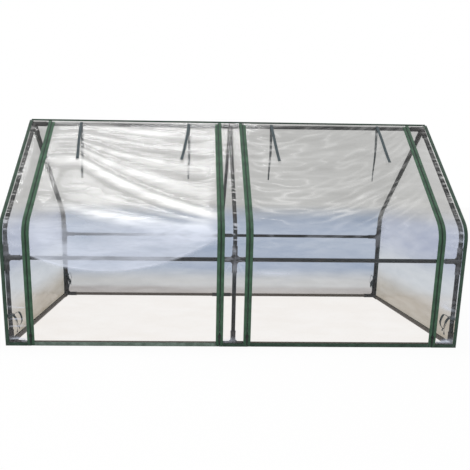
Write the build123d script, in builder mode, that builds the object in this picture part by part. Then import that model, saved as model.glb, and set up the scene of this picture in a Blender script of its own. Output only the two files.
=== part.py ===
"""Mini greenhouse: a push-fit tube frame under a clear film cover with two zipped front doors.

Row frame: +X along the ridge, -Y is the front with the doors, +Z up, origin on the ground
below the middle of the ridge. Millimetres.
"""

from build123d import *

import os
from math import atan2, cos, degrees, radians, sin, tan

os.makedirs("parts", exist_ok=True)

# Overall frame, measured between tube axes
FRAME_LENGTH = 1762.0
FRAME_DEPTH = 883.0
RIDGE_Z = 893.0
EAVE_Z = 468.0  # where the wall line and the roof line would cross
PURLIN_Z = 351.0

# Steel tube
TUBE_OD = 16.0
TUBE_WALL = 0.6
BEND_RADIUS = 100.0  # of the rafter's axis at the eave

# Moulded push-fit connectors
SOCKET_CLEARANCE = 0.1
SOCKET_WALL = 1.9
SOCKET_REACH = 52.0  # from the joint's centre to the mouth
STOP_WALL = 2.9  # beyond the bore's radius, where the tube meets its shoulder
COLLAR_STEP = 0.5
COLLAR_LENGTH = 4.0
HUB_STEP = 0.4
TUBE_END_GAP = 0.5
WEB_REACH = 27.0
WEB_THICKNESS = 3.0

# Film cover
FILM = 0.8
FILM_CLEARANCE = 0.5  # from the film to the widest part of a connector
FILM_BOTTOM = 0.5
END_PANEL_GAP = 0.1
FIN_WIDTH = 8.5  # bound seam that stands out along both ends
FIN_THICKNESS = 2.4
RIDGE_FIN_HEIGHT = 5.0
RIDGE_FIN_THICKNESS = 3.6
HEM_HEIGHT = 14.0
HEM_THICKNESS = 1.5

# Zips
ZIP_END_INSET = 80.0  # from the end frame's axis to the outer zips
ZIP_CENTRE_OFFSET = 55.0  # from the middle frame's axis to the inner zips
TAPE_WIDTH = 14.5
TAPE_THICKNESS = 1.2
TAPE_FILM_OVERLAP = 7.5
SEWN_GAP = 0.05
COIL_WIDTH = 2.7
COIL_HEIGHT = 1.0
ZIP_GAP = 0.6  # between the two halves of a closed zip

# Doors
DOOR_RIDGE_GAP = 0.3  # from the ridge seam to the door's top edge
DOOR_TAPE_START = 9.0  # below the door's top edge
DOOR_TAPE_TOP_GAP = 2.0
DOOR_BOTTOM = 1.0
HINGE_GAP = 0.3

# Zip sliders and pulls
SLIDER_LENGTH = 14.0
SLIDER_WIDTH = 11.0
SLIDER_PLATE = 2.5
SLIDER_SKIRT = 2.0
SLIDER_GAP = 0.3
SLIDER_Z = 44.0
BRIDGE_WIDTH = 2.0
BRIDGE_LEG = 1.4
BRIDGE_OPENING = 2.4
BRIDGE_CLEAR_HEIGHT = 1.8
BRIDGE_BAR = 1.2
PULL_PIN_RADIUS = 0.6
PULL_ARM_WIDTH = 1.4
PULL_ARM_GAP = 0.5
PULL_SHOULDER = 4.5  # from the pin to where the tab starts
PULL_LENGTH = 27.0
PULL_THICKNESS = 1.2
PULL_HOLE_RADIUS = 1.6

# Tie straps for the rolled doors, and the ties at the posts' feet
STRAP_LENGTH = 240.0
STRAP_WIDTH = 9.0
STRAP_THICKNESS = 1.0
STRAP_GAP = 0.3
STRAP_SPREAD = 241.0  # each side of the door's middle
OUTER_STRAP_START = 9.0
INNER_STRAP_DROP = 4.0  # of its top above the ridge tube's axis
TIE_Z = 118.0
TIE_WIDTH = 8.0
TIE_THICKNESS = 1.0
TIE_CLEARANCE = 0.3
TIE_KNOT = 9.0
TIE_TAIL_LENGTH = 82.0
TIE_TAIL_SPREAD = 9.0  # degrees each side of plumb

# Derived sizes
BORE_RADIUS = TUBE_OD / 2 + SOCKET_CLEARANCE
SOCKET_RADIUS = BORE_RADIUS + SOCKET_WALL
COLLAR_RADIUS = SOCKET_RADIUS + COLLAR_STEP
SOCKET_STOP = BORE_RADIUS + STOP_WALL  # from the joint's centre
BASE_Z = SOCKET_RADIUS  # the collars under the base are cut flat at the ground

# Derived places
END_X = FRAME_LENGTH / 2
POST_Y = FRAME_DEPTH / 2
ROOF_ANGLE = degrees(atan2(RIDGE_Z - EAVE_Z, POST_Y))
TURN = 90.0 - ROOF_ANGLE
BEND_TANGENT = BEND_RADIUS * tan(radians(TURN / 2))
BEND_CENTRE = (-POST_Y + BEND_RADIUS, EAVE_Z - BEND_TANGENT)
ALONG_ROOF = (cos(radians(ROOF_ANGLE)), sin(radians(ROOF_ANGLE)))
FILM_INNER = COLLAR_RADIUS + FILM_CLEARANCE
FILM_OUTER = FILM_INNER + FILM
TAPE_INNER = FILM_OUTER + SEWN_GAP
TAPE_OUTER = TAPE_INNER + TAPE_THICKNESS
COIL_OUTER = TAPE_OUTER + COIL_HEIGHT
HALF_TURN = TURN / 2
END_FILM_INNER = END_X + FILM_INNER
END_FILM_OUTER = END_X + FILM_OUTER
ZIP_END_X = END_X - ZIP_END_INSET
DOOR_TOP_Y = -(RIDGE_FIN_THICKNESS / 2 + DOOR_RIDGE_GAP)
DOOR_MIDDLE_X = (ZIP_END_X + ZIP_CENTRE_OFFSET) / 2
FILM_EDGE = TAPE_WIDTH - TAPE_FILM_OVERLAP  # from the zip's middle to the film's edge


def save(part, name):
    part.part.label = name
    export_step(part.part, f"parts/{name}.step")


def save_group(parts, name):
    """Writes several separate solids as one sub-part."""
    with BuildPart() as group:
        for one in parts:
            add(one.part)
    save(group, name)


# Tubes


def straight_tube(start, end):
    start, end = Vector(*start), Vector(*end)
    run = end - start
    with BuildPart() as tube:
        with BuildSketch(Plane(origin=start, z_dir=run)):
            Circle(TUBE_OD / 2)
            Circle(TUBE_OD / 2 - TUBE_WALL, mode=Mode.SUBTRACT)
        extrude(amount=run.length)
    return tube


def rafter(x, side):
    """Bent tube from the purlin connector round the eave and up to the ridge; side -1 is the front."""
    seat = SOCKET_STOP + TUBE_END_GAP
    with BuildPart() as tube:
        with BuildLine() as path:
            FilletPolyline(
                (x, side * POST_Y, PURLIN_Z + seat),
                (x, side * POST_Y, EAVE_Z),
                (x, side * seat * ALONG_ROOF[0], RIDGE_Z - seat * ALONG_ROOF[1]),
                radius=BEND_RADIUS,
            )
        with BuildSketch(Plane(origin=path.line @ 0, z_dir=path.line % 0)):
            Circle(TUBE_OD / 2)
            Circle(TUBE_OD / 2 - TUBE_WALL, mode=Mode.SUBTRACT)
        sweep(path=path.line)
    return tube


def long_tube(side, y, z):
    """Straight tube from an end frame to the middle frame; side -1 is the left half."""
    seat = SOCKET_STOP + TUBE_END_GAP
    return straight_tube((side * (END_X - seat), y, z), (side * seat, y, z))


SIDES = {"left": -1, "right": 1}
FACES = {"front": -1, "rear": 1}
FRAMES = {"left": -END_X, "centre": 0.0, "right": END_X}

for side_name, side in SIDES.items():
    seat_y = POST_Y - SOCKET_STOP - TUBE_END_GAP
    side_x = side * END_X
    save(straight_tube((side_x, -seat_y, BASE_Z), (side_x, seat_y, BASE_Z)), f"{side_name}_side_base_tube")
    save(long_tube(side, 0, RIDGE_Z), f"{side_name}_ridge_tube")
    for face_name, face in FACES.items():
        save(long_tube(side, face * POST_Y, BASE_Z), f"{face_name}_{side_name}_base_tube")

for face_name, face in FACES.items():
    purlins = [long_tube(side, face * POST_Y, PURLIN_Z) for side in SIDES.values()]
    save_group(purlins, f"{face_name}_purlin_tubes")
    post_foot = BASE_Z + SOCKET_STOP + TUBE_END_GAP
    post_head = PURLIN_Z - SOCKET_STOP - TUBE_END_GAP
    posts = [
        straight_tube((x, face * POST_Y, post_foot), (x, face * POST_Y, post_head))
        for x in FRAMES.values()
    ]
    save_group(posts, f"{face_name}_posts")
    for frame_name, x in FRAMES.items():
        save(rafter(x, face), f"{face_name}_{frame_name}_rafter")


# Connectors


def connector(centre, arms, webs, on_ground=False):
    """Moulded joint: a collared socket along each arm's direction, with flat webs between pairs of arms."""
    centre = Vector(*centre)
    arms = [Vector(*arm).normalized() for arm in arms]
    with BuildPart() as joint:
        with Locations(centre):
            Sphere(SOCKET_RADIUS + HUB_STEP)
        for arm in arms:
            with BuildSketch(Plane(origin=centre, z_dir=arm)):
                Circle(SOCKET_RADIUS)
            extrude(amount=SOCKET_REACH)
            collar_start = centre + arm * (SOCKET_REACH - COLLAR_LENGTH)
            with BuildSketch(Plane(origin=collar_start, z_dir=arm)):
                Circle(COLLAR_RADIUS)
            extrude(amount=COLLAR_LENGTH)
        for one, other in webs:
            web_plane = Plane(origin=centre, x_dir=arms[one], z_dir=arms[one].cross(arms[other]))
            tips = [web_plane.to_local_coords(centre + arms[i] * WEB_REACH) for i in (one, other)]
            with BuildSketch(web_plane):
                with BuildLine():
                    Polyline((0, 0), (tips[0].X, tips[0].Y), (tips[1].X, tips[1].Y), close=True)
                make_face()
            extrude(amount=WEB_THICKNESS / 2, both=True)
        for arm in arms:
            with BuildSketch(Plane(origin=centre + arm * SOCKET_STOP, z_dir=arm)):
                Circle(BORE_RADIUS)
            extrude(amount=SOCKET_REACH, mode=Mode.SUBTRACT)
        if on_ground:
            split(bisect_by=Plane.XY, keep=Keep.TOP)
    return joint


UP, DOWN = (0, 0, 1), (0, 0, -1)
LEFT, RIGHT = (-1, 0, 0), (1, 0, 0)
FRONT, REAR = (0, -1, 0), (0, 1, 0)
DOWN_FRONT = (0, -ALONG_ROOF[0], -ALONG_ROOF[1])
DOWN_REAR = (0, ALONG_ROOF[0], -ALONG_ROOF[1])
INWARD_X = {-1: RIGHT, 1: LEFT}
INWARD_Y = {-1: REAR, 1: FRONT}

base_corners = [
    connector(
        (side * END_X, face * POST_Y, BASE_Z),
        [UP, INWARD_X[side], INWARD_Y[face]],
        [(0, 1), (0, 2)],
        on_ground=True,
    )
    for side in SIDES.values()
    for face in FACES.values()
]
save_group(base_corners, "base_corner_connectors")

base_tees = [
    connector((0, face * POST_Y, BASE_Z), [UP, LEFT, RIGHT], [(0, 1), (0, 2)], on_ground=True)
    for face in FACES.values()
]
save_group(base_tees, "base_tee_connectors")

purlin_tees = [
    connector(
        (side * END_X, face * POST_Y, PURLIN_Z),
        [UP, DOWN, INWARD_X[side]],
        [(0, 2), (1, 2)],
    )
    for side in SIDES.values()
    for face in FACES.values()
]
save_group(purlin_tees, "purlin_tee_connectors")

purlin_crosses = [
    connector(
        (0, face * POST_Y, PURLIN_Z),
        [UP, DOWN, LEFT, RIGHT],
        [(0, 2), (0, 3), (1, 2), (1, 3)],
    )
    for face in FACES.values()
]
save_group(purlin_crosses, "purlin_cross_connectors")

ridge_ends = [
    connector((side * END_X, 0, RIDGE_Z), [DOWN_FRONT, DOWN_REAR, INWARD_X[side]], [(0, 1)])
    for side in SIDES.values()
]
save_group(ridge_ends, "ridge_end_connectors")

save(
    connector((0, 0, RIDGE_Z), [DOWN_FRONT, DOWN_REAR, LEFT, RIGHT], [(0, 1)]),
    "ridge_centre_connector",
)


# Cover: sheets that follow the frame's outline at a distance outside the tube axes


def wall_point(distance, z):
    return (-(POST_Y + distance), z)


def bend_point(distance, angle):
    """On the eave's bend, angle degrees up from the wall."""
    radius = BEND_RADIUS + distance
    return (
        BEND_CENTRE[0] - radius * cos(radians(angle)),
        BEND_CENTRE[1] + radius * sin(radians(angle)),
    )


def roof_point_at(distance, y):
    """On the roof line, at a given y."""
    height = RIDGE_Z + distance / ALONG_ROOF[0] + y * tan(radians(ROOF_ANGLE))
    return (y, height)


def roof_point_below(start, drop, distance):
    """Down the roof from a point of the outer film face, then moved to another distance."""
    rise = distance - FILM_OUTER
    return (
        start[0] - drop * ALONG_ROOF[0] - rise * ALONG_ROOF[1],
        start[1] - drop * ALONG_ROOF[1] + rise * ALONG_ROOF[0],
    )


def strip(x_from, x_to, inner, outer, lower=None, upper=None, mirrored=False):
    """Sheet between two distances from the tube axes and two places along X.

    lower is the z of the wall's foot, or None for a sheet that starts half-way round the eave.
    upper is a function that gives the top end's point for a distance, or None for a sheet that
    stops half-way round the eave. The profile is drawn for the front and mirrored for the rear.
    """
    gap = degrees(HINGE_GAP / (BEND_RADIUS + outer))

    def edge(distance):
        foot = 0.0 if lower is not None else HALF_TURN + gap
        head = TURN if upper is not None else HALF_TURN - gap
        if lower is not None:
            Line(wall_point(distance, lower), bend_point(distance, 0))
        middle = bend_point(distance, (foot + head) / 2)
        ThreePointArc(bend_point(distance, foot), middle, bend_point(distance, head))
        if upper is not None:
            Line(bend_point(distance, TURN), upper(distance))

    with BuildPart() as sheet:
        with BuildSketch(Plane.YZ.offset(x_from)):
            with BuildLine():
                edge(inner)
                edge(outer)
                if lower is not None:
                    Line(wall_point(inner, lower), wall_point(outer, lower))
                else:
                    Line(bend_point(inner, HALF_TURN + gap), bend_point(outer, HALF_TURN + gap))
                if upper is not None:
                    Line(upper(inner), upper(outer))
                else:
                    Line(bend_point(inner, HALF_TURN - gap), bend_point(outer, HALF_TURN - gap))
            make_face()
        extrude(amount=x_to - x_from)
        if mirrored:
            mirror(about=Plane.XZ, mode=Mode.REPLACE)
    return sheet


def to_apex(distance):
    return roof_point_at(distance, 0.0)


def to_ridge_fin(distance):
    """Top end of what lies on the film: square to the roof, just short of the ridge seam."""
    return roof_point_below(roof_point_at(FILM_OUTER, DOOR_TOP_Y), 0.0, distance)


def to_door_tape_start(distance):
    return roof_point_below(roof_point_at(FILM_OUTER, DOOR_TOP_Y), DOOR_TAPE_START, distance)


def to_fixed_tape_start(distance):
    return roof_point_below(roof_point_at(FILM_OUTER, DOOR_TOP_Y), DOOR_TAPE_TOP_GAP, distance)


def plate(x_from, x_to, y_from, y_to, z_from, z_to):
    """Plain flat piece between two corners."""
    with BuildPart() as block:
        with BuildSketch(Plane.XY.offset(z_from)):
            with Locations(((x_from + x_to) / 2, (y_from + y_to) / 2)):
                Rectangle(abs(x_to - x_from), abs(y_to - y_from))
        extrude(amount=z_to - z_from)
    return block


def end_panel(side):
    """Flat five-sided sheet that closes one end."""
    outline = FILM_INNER - END_PANEL_GAP
    with BuildPart() as panel:
        with BuildSketch(Plane.YZ.offset(side * END_FILM_INNER)):
            with BuildLine():
                Line(wall_point(outline, FILM_BOTTOM), bend_point(outline, 0))
                ThreePointArc(
                    bend_point(outline, 0),
                    bend_point(outline, HALF_TURN),
                    bend_point(outline, TURN),
                )
                Line(bend_point(outline, TURN), to_apex(outline))
                Line(to_apex(outline), (0, FILM_BOTTOM))
                Line((0, FILM_BOTTOM), wall_point(outline, FILM_BOTTOM))
            make_face()
            mirror(about=Plane.YZ)
        extrude(amount=side * FILM)
    return panel


for side_name, side in SIDES.items():
    save(end_panel(side), f"{side_name}_end_panel")

save(
    strip(-END_FILM_OUTER, END_FILM_OUTER, FILM_INNER, FILM_OUTER, FILM_BOTTOM, to_apex, mirrored=True),
    "rear_panel",
)
FRONT_STRIPS = {
    "left": (-END_FILM_OUTER, -(ZIP_END_X + FILM_EDGE)),
    "centre": (-(ZIP_CENTRE_OFFSET - FILM_EDGE), ZIP_CENTRE_OFFSET - FILM_EDGE),
    "right": (ZIP_END_X + FILM_EDGE, END_FILM_OUTER),
}
for strip_name, (x_from, x_to) in FRONT_STRIPS.items():
    save(
        strip(x_from, x_to, FILM_INNER, FILM_OUTER, FILM_BOTTOM, to_apex),
        f"front_{strip_name}_strip",
    )

# Bound seams: fins along both ends, a fin along the ridge, and the hem round the foot
FILM_MIDDLE = (FILM_INNER + FILM_OUTER) / 2
for side_name, side in SIDES.items():
    fins = [
        strip(
            side * END_FILM_OUTER,
            side * (END_FILM_OUTER + FIN_WIDTH),
            FILM_MIDDLE - FIN_THICKNESS / 2,
            FILM_MIDDLE + FIN_THICKNESS / 2,
            FILM_BOTTOM,
            to_apex,
            mirrored,
        )
        for mirrored in (False, True)
    ]
    save_group(fins, f"{side_name}_end_binding")

with BuildPart() as ridge_binding:
    half = RIDGE_FIN_THICKNESS / 2
    fin_top = to_apex(FILM_OUTER)[1] + RIDGE_FIN_HEIGHT
    with BuildSketch(Plane.YZ.offset(-END_FILM_OUTER)):
        with BuildLine():
            Polyline(
                roof_point_at(FILM_OUTER, -half),
                to_apex(FILM_OUTER),
                (half, roof_point_at(FILM_OUTER, -half)[1]),
                (half, fin_top),
                (-half, fin_top),
                close=True,
            )
        make_face()
    extrude(amount=2 * END_FILM_OUTER)
save(ridge_binding, "ridge_binding")

HEM_INNER_Y = POST_Y + FILM_OUTER
HEM_TOP = FILM_BOTTOM + HEM_HEIGHT
TAPE_EDGE_END = ZIP_END_X + TAPE_WIDTH + ZIP_GAP / 2
TAPE_EDGE_CENTRE = ZIP_CENTRE_OFFSET - TAPE_WIDTH - ZIP_GAP / 2
hems = [
    plate(-END_FILM_OUTER, END_FILM_OUTER, HEM_INNER_Y, HEM_INNER_Y + HEM_THICKNESS, FILM_BOTTOM, HEM_TOP)
]
for x_from, x_to in (
    (-END_FILM_OUTER, -TAPE_EDGE_END),
    (-TAPE_EDGE_CENTRE, TAPE_EDGE_CENTRE),
    (TAPE_EDGE_END, END_FILM_OUTER),
):
    hems.append(plate(x_from, x_to, -HEM_INNER_Y - HEM_THICKNESS, -HEM_INNER_Y, FILM_BOTTOM, HEM_TOP))
for side in SIDES.values():
    hems.append(
        plate(
            side * END_FILM_OUTER,
            side * (END_FILM_OUTER + HEM_THICKNESS),
            -(POST_Y + FILM_INNER - END_PANEL_GAP - FIN_THICKNESS),
            POST_Y + FILM_INNER - END_PANEL_GAP - FIN_THICKNESS,
            FILM_BOTTOM,
            HEM_TOP,
        )
    )
save_group(hems, "bottom_hem")


# Zips: each half is a tape with its row of coil along the inner edge


def zip_half(zip_x, toward, lower, upper):
    """Half of a zip beside zip_x, on the side that toward points to (+1 or -1 along X)."""
    near = zip_x + toward * ZIP_GAP / 2
    tape_edge = near + toward * TAPE_WIDTH
    coil_edge = near + toward * COIL_WIDTH
    tape = strip(near, tape_edge, TAPE_INNER, TAPE_OUTER, lower, upper)
    coil = strip(near, coil_edge, TAPE_OUTER, COIL_OUTER, lower, upper)
    with BuildPart() as half_zip:
        add(tape.part)
        add(coil.part)
    return half_zip


ZIPS = {
    "left_outer": -ZIP_END_X,
    "left_inner": -ZIP_CENTRE_OFFSET,
    "right_inner": ZIP_CENTRE_OFFSET,
    "right_outer": ZIP_END_X,
}


def away_from_door(zip_x):
    door_x = DOOR_MIDDLE_X if zip_x > 0 else -DOOR_MIDDLE_X
    return 1 if zip_x > door_x else -1


save_group(
    [zip_half(x, away_from_door(x), FILM_BOTTOM, to_fixed_tape_start) for x in ZIPS.values()],
    "fixed_zip_tapes",
)

# Doors: each one is hinged along the ridge and again round the eave
for side_name, side in SIDES.items():
    low_x, high_x = sorted((side * (ZIP_CENTRE_OFFSET + FILM_EDGE), side * (ZIP_END_X - FILM_EDGE)))
    zip_places = [x for x in ZIPS.values() if x * side > 0]
    save(
        strip(low_x, high_x, FILM_INNER, FILM_OUTER, None, to_ridge_fin),
        f"{side_name}_door_upper_film",
    )
    save(
        strip(low_x, high_x, FILM_INNER, FILM_OUTER, DOOR_BOTTOM, None),
        f"{side_name}_door_lower_film",
    )
    save_group(
        [zip_half(x, -away_from_door(x), None, to_door_tape_start) for x in zip_places],
        f"{side_name}_door_upper_tapes",
    )
    lower_tapes = [zip_half(x, -away_from_door(x), DOOR_BOTTOM, None) for x in zip_places]
    hem_from, hem_to = (
        min(abs(x) for x in zip_places) + TAPE_WIDTH + ZIP_GAP / 2,
        max(abs(x) for x in zip_places) - TAPE_WIDTH - ZIP_GAP / 2,
    )
    door_hem = plate(
        side * hem_from,
        side * hem_to,
        -HEM_INNER_Y - HEM_THICKNESS,
        -HEM_INNER_Y,
        DOOR_BOTTOM,
        DOOR_BOTTOM + HEM_HEIGHT,
    )
    save_group([*lower_tapes, door_hem], f"{side_name}_door_lower_bindings")


# Zip sliders and their pulls, at the foot of each zip
COIL_Y = -(POST_Y + COIL_OUTER)
PLATE_IN_Y = COIL_Y - SLIDER_GAP
PLATE_OUT_Y = PLATE_IN_Y - SLIDER_PLATE
PIN_Y = PLATE_OUT_Y - BRIDGE_CLEAR_HEIGHT / 2
PIN_Z = SLIDER_Z


def slider(zip_x):
    """Plate over the coil with a skirt each side and a bridge that carries the pull."""
    skirt_in_y = -(POST_Y + TAPE_OUTER) - SLIDER_GAP
    with BuildPart() as body:
        with BuildSketch(Plane.XZ.offset(-PLATE_IN_Y)):
            with Locations((zip_x, SLIDER_Z)):
                RectangleRounded(SLIDER_WIDTH, SLIDER_LENGTH, SLIDER_WIDTH / 4)
        extrude(amount=SLIDER_PLATE)
        skirt_x = SLIDER_WIDTH / 2 - SLIDER_SKIRT / 2
        with BuildSketch(Plane.XZ.offset(-PLATE_IN_Y)):
            with Locations((zip_x - skirt_x, SLIDER_Z), (zip_x + skirt_x, SLIDER_Z)):
                Rectangle(SLIDER_SKIRT, SLIDER_LENGTH / 2)
        extrude(amount=PLATE_IN_Y - skirt_in_y)
        bridge_length = BRIDGE_OPENING + 2 * BRIDGE_LEG
        with BuildSketch(Plane.XZ.offset(-PLATE_OUT_Y)):
            with Locations((zip_x, PIN_Z)):
                Rectangle(BRIDGE_WIDTH, bridge_length)
                Rectangle(BRIDGE_WIDTH, BRIDGE_OPENING, mode=Mode.SUBTRACT)
        extrude(amount=BRIDGE_CLEAR_HEIGHT)
        with BuildSketch(Plane.XZ.offset(-PLATE_OUT_Y + BRIDGE_CLEAR_HEIGHT)):
            with Locations((zip_x, PIN_Z)):
                Rectangle(BRIDGE_WIDTH, bridge_length)
        extrude(amount=BRIDGE_BAR)
    return body


def pull(zip_x):
    """Pin through the bridge, two arms beside it and a drilled tab that hangs below."""
    arm_x = BRIDGE_WIDTH / 2 + PULL_ARM_GAP + PULL_ARM_WIDTH / 2
    arm_z = PIN_Z - PULL_SHOULDER / 2
    tab_width = 2 * (BRIDGE_WIDTH / 2 + PULL_ARM_GAP + PULL_ARM_WIDTH)
    tab_z = PIN_Z - (PULL_SHOULDER + PULL_LENGTH) / 2
    tab_length = PULL_LENGTH - PULL_SHOULDER
    with BuildPart() as tab:
        with BuildSketch(Plane.XZ.offset(-(PIN_Y + PULL_THICKNESS / 2))):
            with Locations((zip_x - arm_x, arm_z), (zip_x + arm_x, arm_z)):
                Rectangle(PULL_ARM_WIDTH, PULL_SHOULDER + 2 * PULL_PIN_RADIUS)
            with Locations((zip_x, tab_z)):
                Rectangle(tab_width, tab_length)
            with Locations((zip_x, PIN_Z - PULL_LENGTH + 2 * PULL_HOLE_RADIUS)):
                Circle(PULL_HOLE_RADIUS, mode=Mode.SUBTRACT)
        extrude(amount=PULL_THICKNESS)
        with BuildSketch(Plane(origin=(zip_x - tab_width / 2, PIN_Y, PIN_Z), z_dir=(1, 0, 0))):
            Circle(PULL_PIN_RADIUS)
        extrude(amount=tab_width)
    return tab


for zip_name, zip_x in ZIPS.items():
    save(slider(zip_x), f"{zip_name}_zip_slider")
    save(pull(zip_x), f"{zip_name}_zip_pull")


# Tie straps: one outside and one inside at each place, sewn into the ridge seam
STRAPS = {
    "left_outer": -(DOOR_MIDDLE_X + STRAP_SPREAD),
    "left_inner": -(DOOR_MIDDLE_X - STRAP_SPREAD),
    "right_inner": DOOR_MIDDLE_X - STRAP_SPREAD,
    "right_outer": DOOR_MIDDLE_X + STRAP_SPREAD,
}


def outside_strap(x):
    """Lies down the roof on the door."""
    top = roof_point_at(FILM_OUTER, DOOR_TOP_Y)
    inner, outer = FILM_OUTER + STRAP_GAP, FILM_OUTER + STRAP_GAP + STRAP_THICKNESS
    with BuildPart() as ribbon:
        with BuildSketch(Plane.YZ.offset(x - STRAP_WIDTH / 2)):
            with BuildLine():
                Polyline(
                    roof_point_below(top, OUTER_STRAP_START, inner),
                    roof_point_below(top, OUTER_STRAP_START, outer),
                    roof_point_below(top, OUTER_STRAP_START + STRAP_LENGTH, outer),
                    roof_point_below(top, OUTER_STRAP_START + STRAP_LENGTH, inner),
                    close=True,
                )
            make_face()
        extrude(amount=STRAP_WIDTH)
    return ribbon


def inside_strap(x):
    """Hangs plumb in front of the ridge tube."""
    near_y = -(TUBE_OD / 2 + STRAP_GAP)
    top_z = RIDGE_Z + INNER_STRAP_DROP
    return plate(
        x - STRAP_WIDTH / 2,
        x + STRAP_WIDTH / 2,
        near_y - STRAP_THICKNESS,
        near_y,
        top_z - STRAP_LENGTH,
        top_z,
    )


for place, x in STRAPS.items():
    save(outside_strap(x), f"{place}_outside_strap")
    save(inside_strap(x), f"{place}_inside_strap")


def foot_tie(side, face):
    """Ribbon round a post's foot, knotted on the inside, with two tails."""
    post = (side * END_X, face * POST_Y)
    inner_radius = TUBE_OD / 2 + TIE_CLEARANCE
    inward = Vector(-side, -face, 0).normalized()
    across = Vector(0, 0, 1).cross(inward)
    knot_middle = Vector(*post, TIE_Z + TIE_WIDTH / 2) + inward * (inner_radius + TIE_KNOT / 2)
    with BuildPart() as tie:
        with BuildSketch(Plane(origin=(*post, TIE_Z))):
            Circle(inner_radius + TIE_THICKNESS)
            Circle(inner_radius, mode=Mode.SUBTRACT)
        extrude(amount=TIE_WIDTH)
        with BuildSketch(Plane(origin=knot_middle, x_dir=inward, z_dir=across)):
            Rectangle(TIE_KNOT, TIE_WIDTH)
        extrude(amount=TIE_WIDTH / 2, both=True)
        for lean in (-TIE_TAIL_SPREAD, TIE_TAIL_SPREAD):
            hang = across * sin(radians(lean)) - Vector(0, 0, 1) * cos(radians(lean))
            with BuildSketch(Plane(origin=knot_middle, x_dir=inward, z_dir=hang)):
                Rectangle(TIE_THICKNESS, TIE_WIDTH)
            extrude(amount=TIE_TAIL_LENGTH)
    return tie


save_group(
    [foot_tie(side, face) for side in SIDES.values() for face in FACES.values()],
    "foot_ties",
)
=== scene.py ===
"""Looks for a mini greenhouse: push-fit tube frame, clear film cover, zipped doors and tie ribbons.

Laid out as a Blender add-on: properties, one operator for each group of like pieces, one panel.
Everything is in metres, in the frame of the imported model: +X along the ridge, -Y is the front.
"""

import math

import bmesh
import bpy
import numpy as np
from bpy.props import FloatProperty, IntProperty, PointerProperty, StringProperty
from mathutils import Matrix, Vector, noise


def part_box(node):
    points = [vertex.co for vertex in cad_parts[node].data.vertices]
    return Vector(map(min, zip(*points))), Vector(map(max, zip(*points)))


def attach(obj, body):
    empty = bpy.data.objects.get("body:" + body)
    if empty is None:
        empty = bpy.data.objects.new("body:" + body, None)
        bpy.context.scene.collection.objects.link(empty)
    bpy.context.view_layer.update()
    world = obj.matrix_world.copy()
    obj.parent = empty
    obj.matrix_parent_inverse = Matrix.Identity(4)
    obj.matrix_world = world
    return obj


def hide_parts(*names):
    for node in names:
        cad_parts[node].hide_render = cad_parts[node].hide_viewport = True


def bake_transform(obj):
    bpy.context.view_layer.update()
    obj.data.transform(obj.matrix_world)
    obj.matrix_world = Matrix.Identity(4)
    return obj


bl_info = {
    "name": "Mini greenhouse",
    "version": (1, 0, 0),
    "blender": (4, 5, 0),
    "location": "View3D > Sidebar > Greenhouse",
    "description": "Builds the finishes, film, bindings, zips and ribbons of a mini greenhouse",
    "category": "Add Mesh",
}

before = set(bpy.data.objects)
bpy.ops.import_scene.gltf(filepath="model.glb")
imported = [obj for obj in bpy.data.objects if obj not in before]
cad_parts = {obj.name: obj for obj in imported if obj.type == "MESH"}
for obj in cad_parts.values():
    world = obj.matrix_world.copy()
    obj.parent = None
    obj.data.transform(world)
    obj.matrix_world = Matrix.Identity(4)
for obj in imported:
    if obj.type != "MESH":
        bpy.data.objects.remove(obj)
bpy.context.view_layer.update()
MM = 0.001


# Places taken from the frame


def middle(node):
    low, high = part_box(node)
    return (low + high) / 2


END_X = middle("right_side_base_tube").x
POST_Y = -middle("front_left_base_tube").y
RIDGE_Z = middle("left_ridge_tube").z
PURLIN_Z = middle("front_purlin_tubes").z
TUBE_RADIUS = (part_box("left_ridge_tube")[1].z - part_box("left_ridge_tube")[0].z) / 2
FILM_OUT = -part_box("front_centre_strip")[0].y - POST_Y  # outer film face, from the tubes' axes
FILM_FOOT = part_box("rear_panel")[0].z
RIDGE_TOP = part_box("ridge_binding")[1].z
BINDING_END_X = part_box("right_end_binding")[1].x
FILM_END_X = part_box("rear_panel")[1].x
FILM_HALF = 0.0004  # half the thickness of the film
HEM_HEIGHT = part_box("bottom_hem")[1].z - FILM_FOOT
EAVE_Z = 0.468  # where the wall line and the roof line cross, between tube axes
BEND_RADIUS = 0.100  # of the rafters' axes at the eave
ROOF_ANGLE = math.atan2(RIDGE_Z - EAVE_Z, POST_Y)
TURN = math.pi / 2 - ROOF_ANGLE
BEND_Y = -POST_Y + BEND_RADIUS
BEND_Z = EAVE_Z - BEND_RADIUS * math.tan(TURN / 2)

DOOR_FILM = {side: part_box(f"{side}_door_upper_film") for side in ("left", "right")}
DOOR_MIDDLE = {side: (low.x + high.x) / 2 for side, (low, high) in DOOR_FILM.items()}
ZIP_X = {
    name: middle(f"{name}_zip_slider").x
    for name in ("left_outer", "left_inner", "right_inner", "right_outer")
}
SIDES = {"left": -1, "right": 1}
FACES = {"front": -1, "rear": 1}

# Lengths up the film's outer face, from the foot to the ridge
WALL_LENGTH = BEND_Z - FILM_FOOT
BEND_LENGTH = (BEND_RADIUS + FILM_OUT) * TURN
ROOF_LENGTH = ((BEND_RADIUS + FILM_OUT) * math.cos(TURN) - BEND_Y) / math.cos(ROOF_ANGLE)
PROFILE_LENGTH = WALL_LENGTH + BEND_LENGTH + ROOF_LENGTH
SHEET_TOP = PROFILE_LENGTH - 0.004  # end of the doors' film and of the fixed tapes
TAPE_TOP = PROFILE_LENGTH - 0.0125  # end of the doors' tapes, which swing at the ridge
STRAP_TOP = PROFILE_LENGTH - 0.0115  # where the outside ribbons are sewn on


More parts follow.
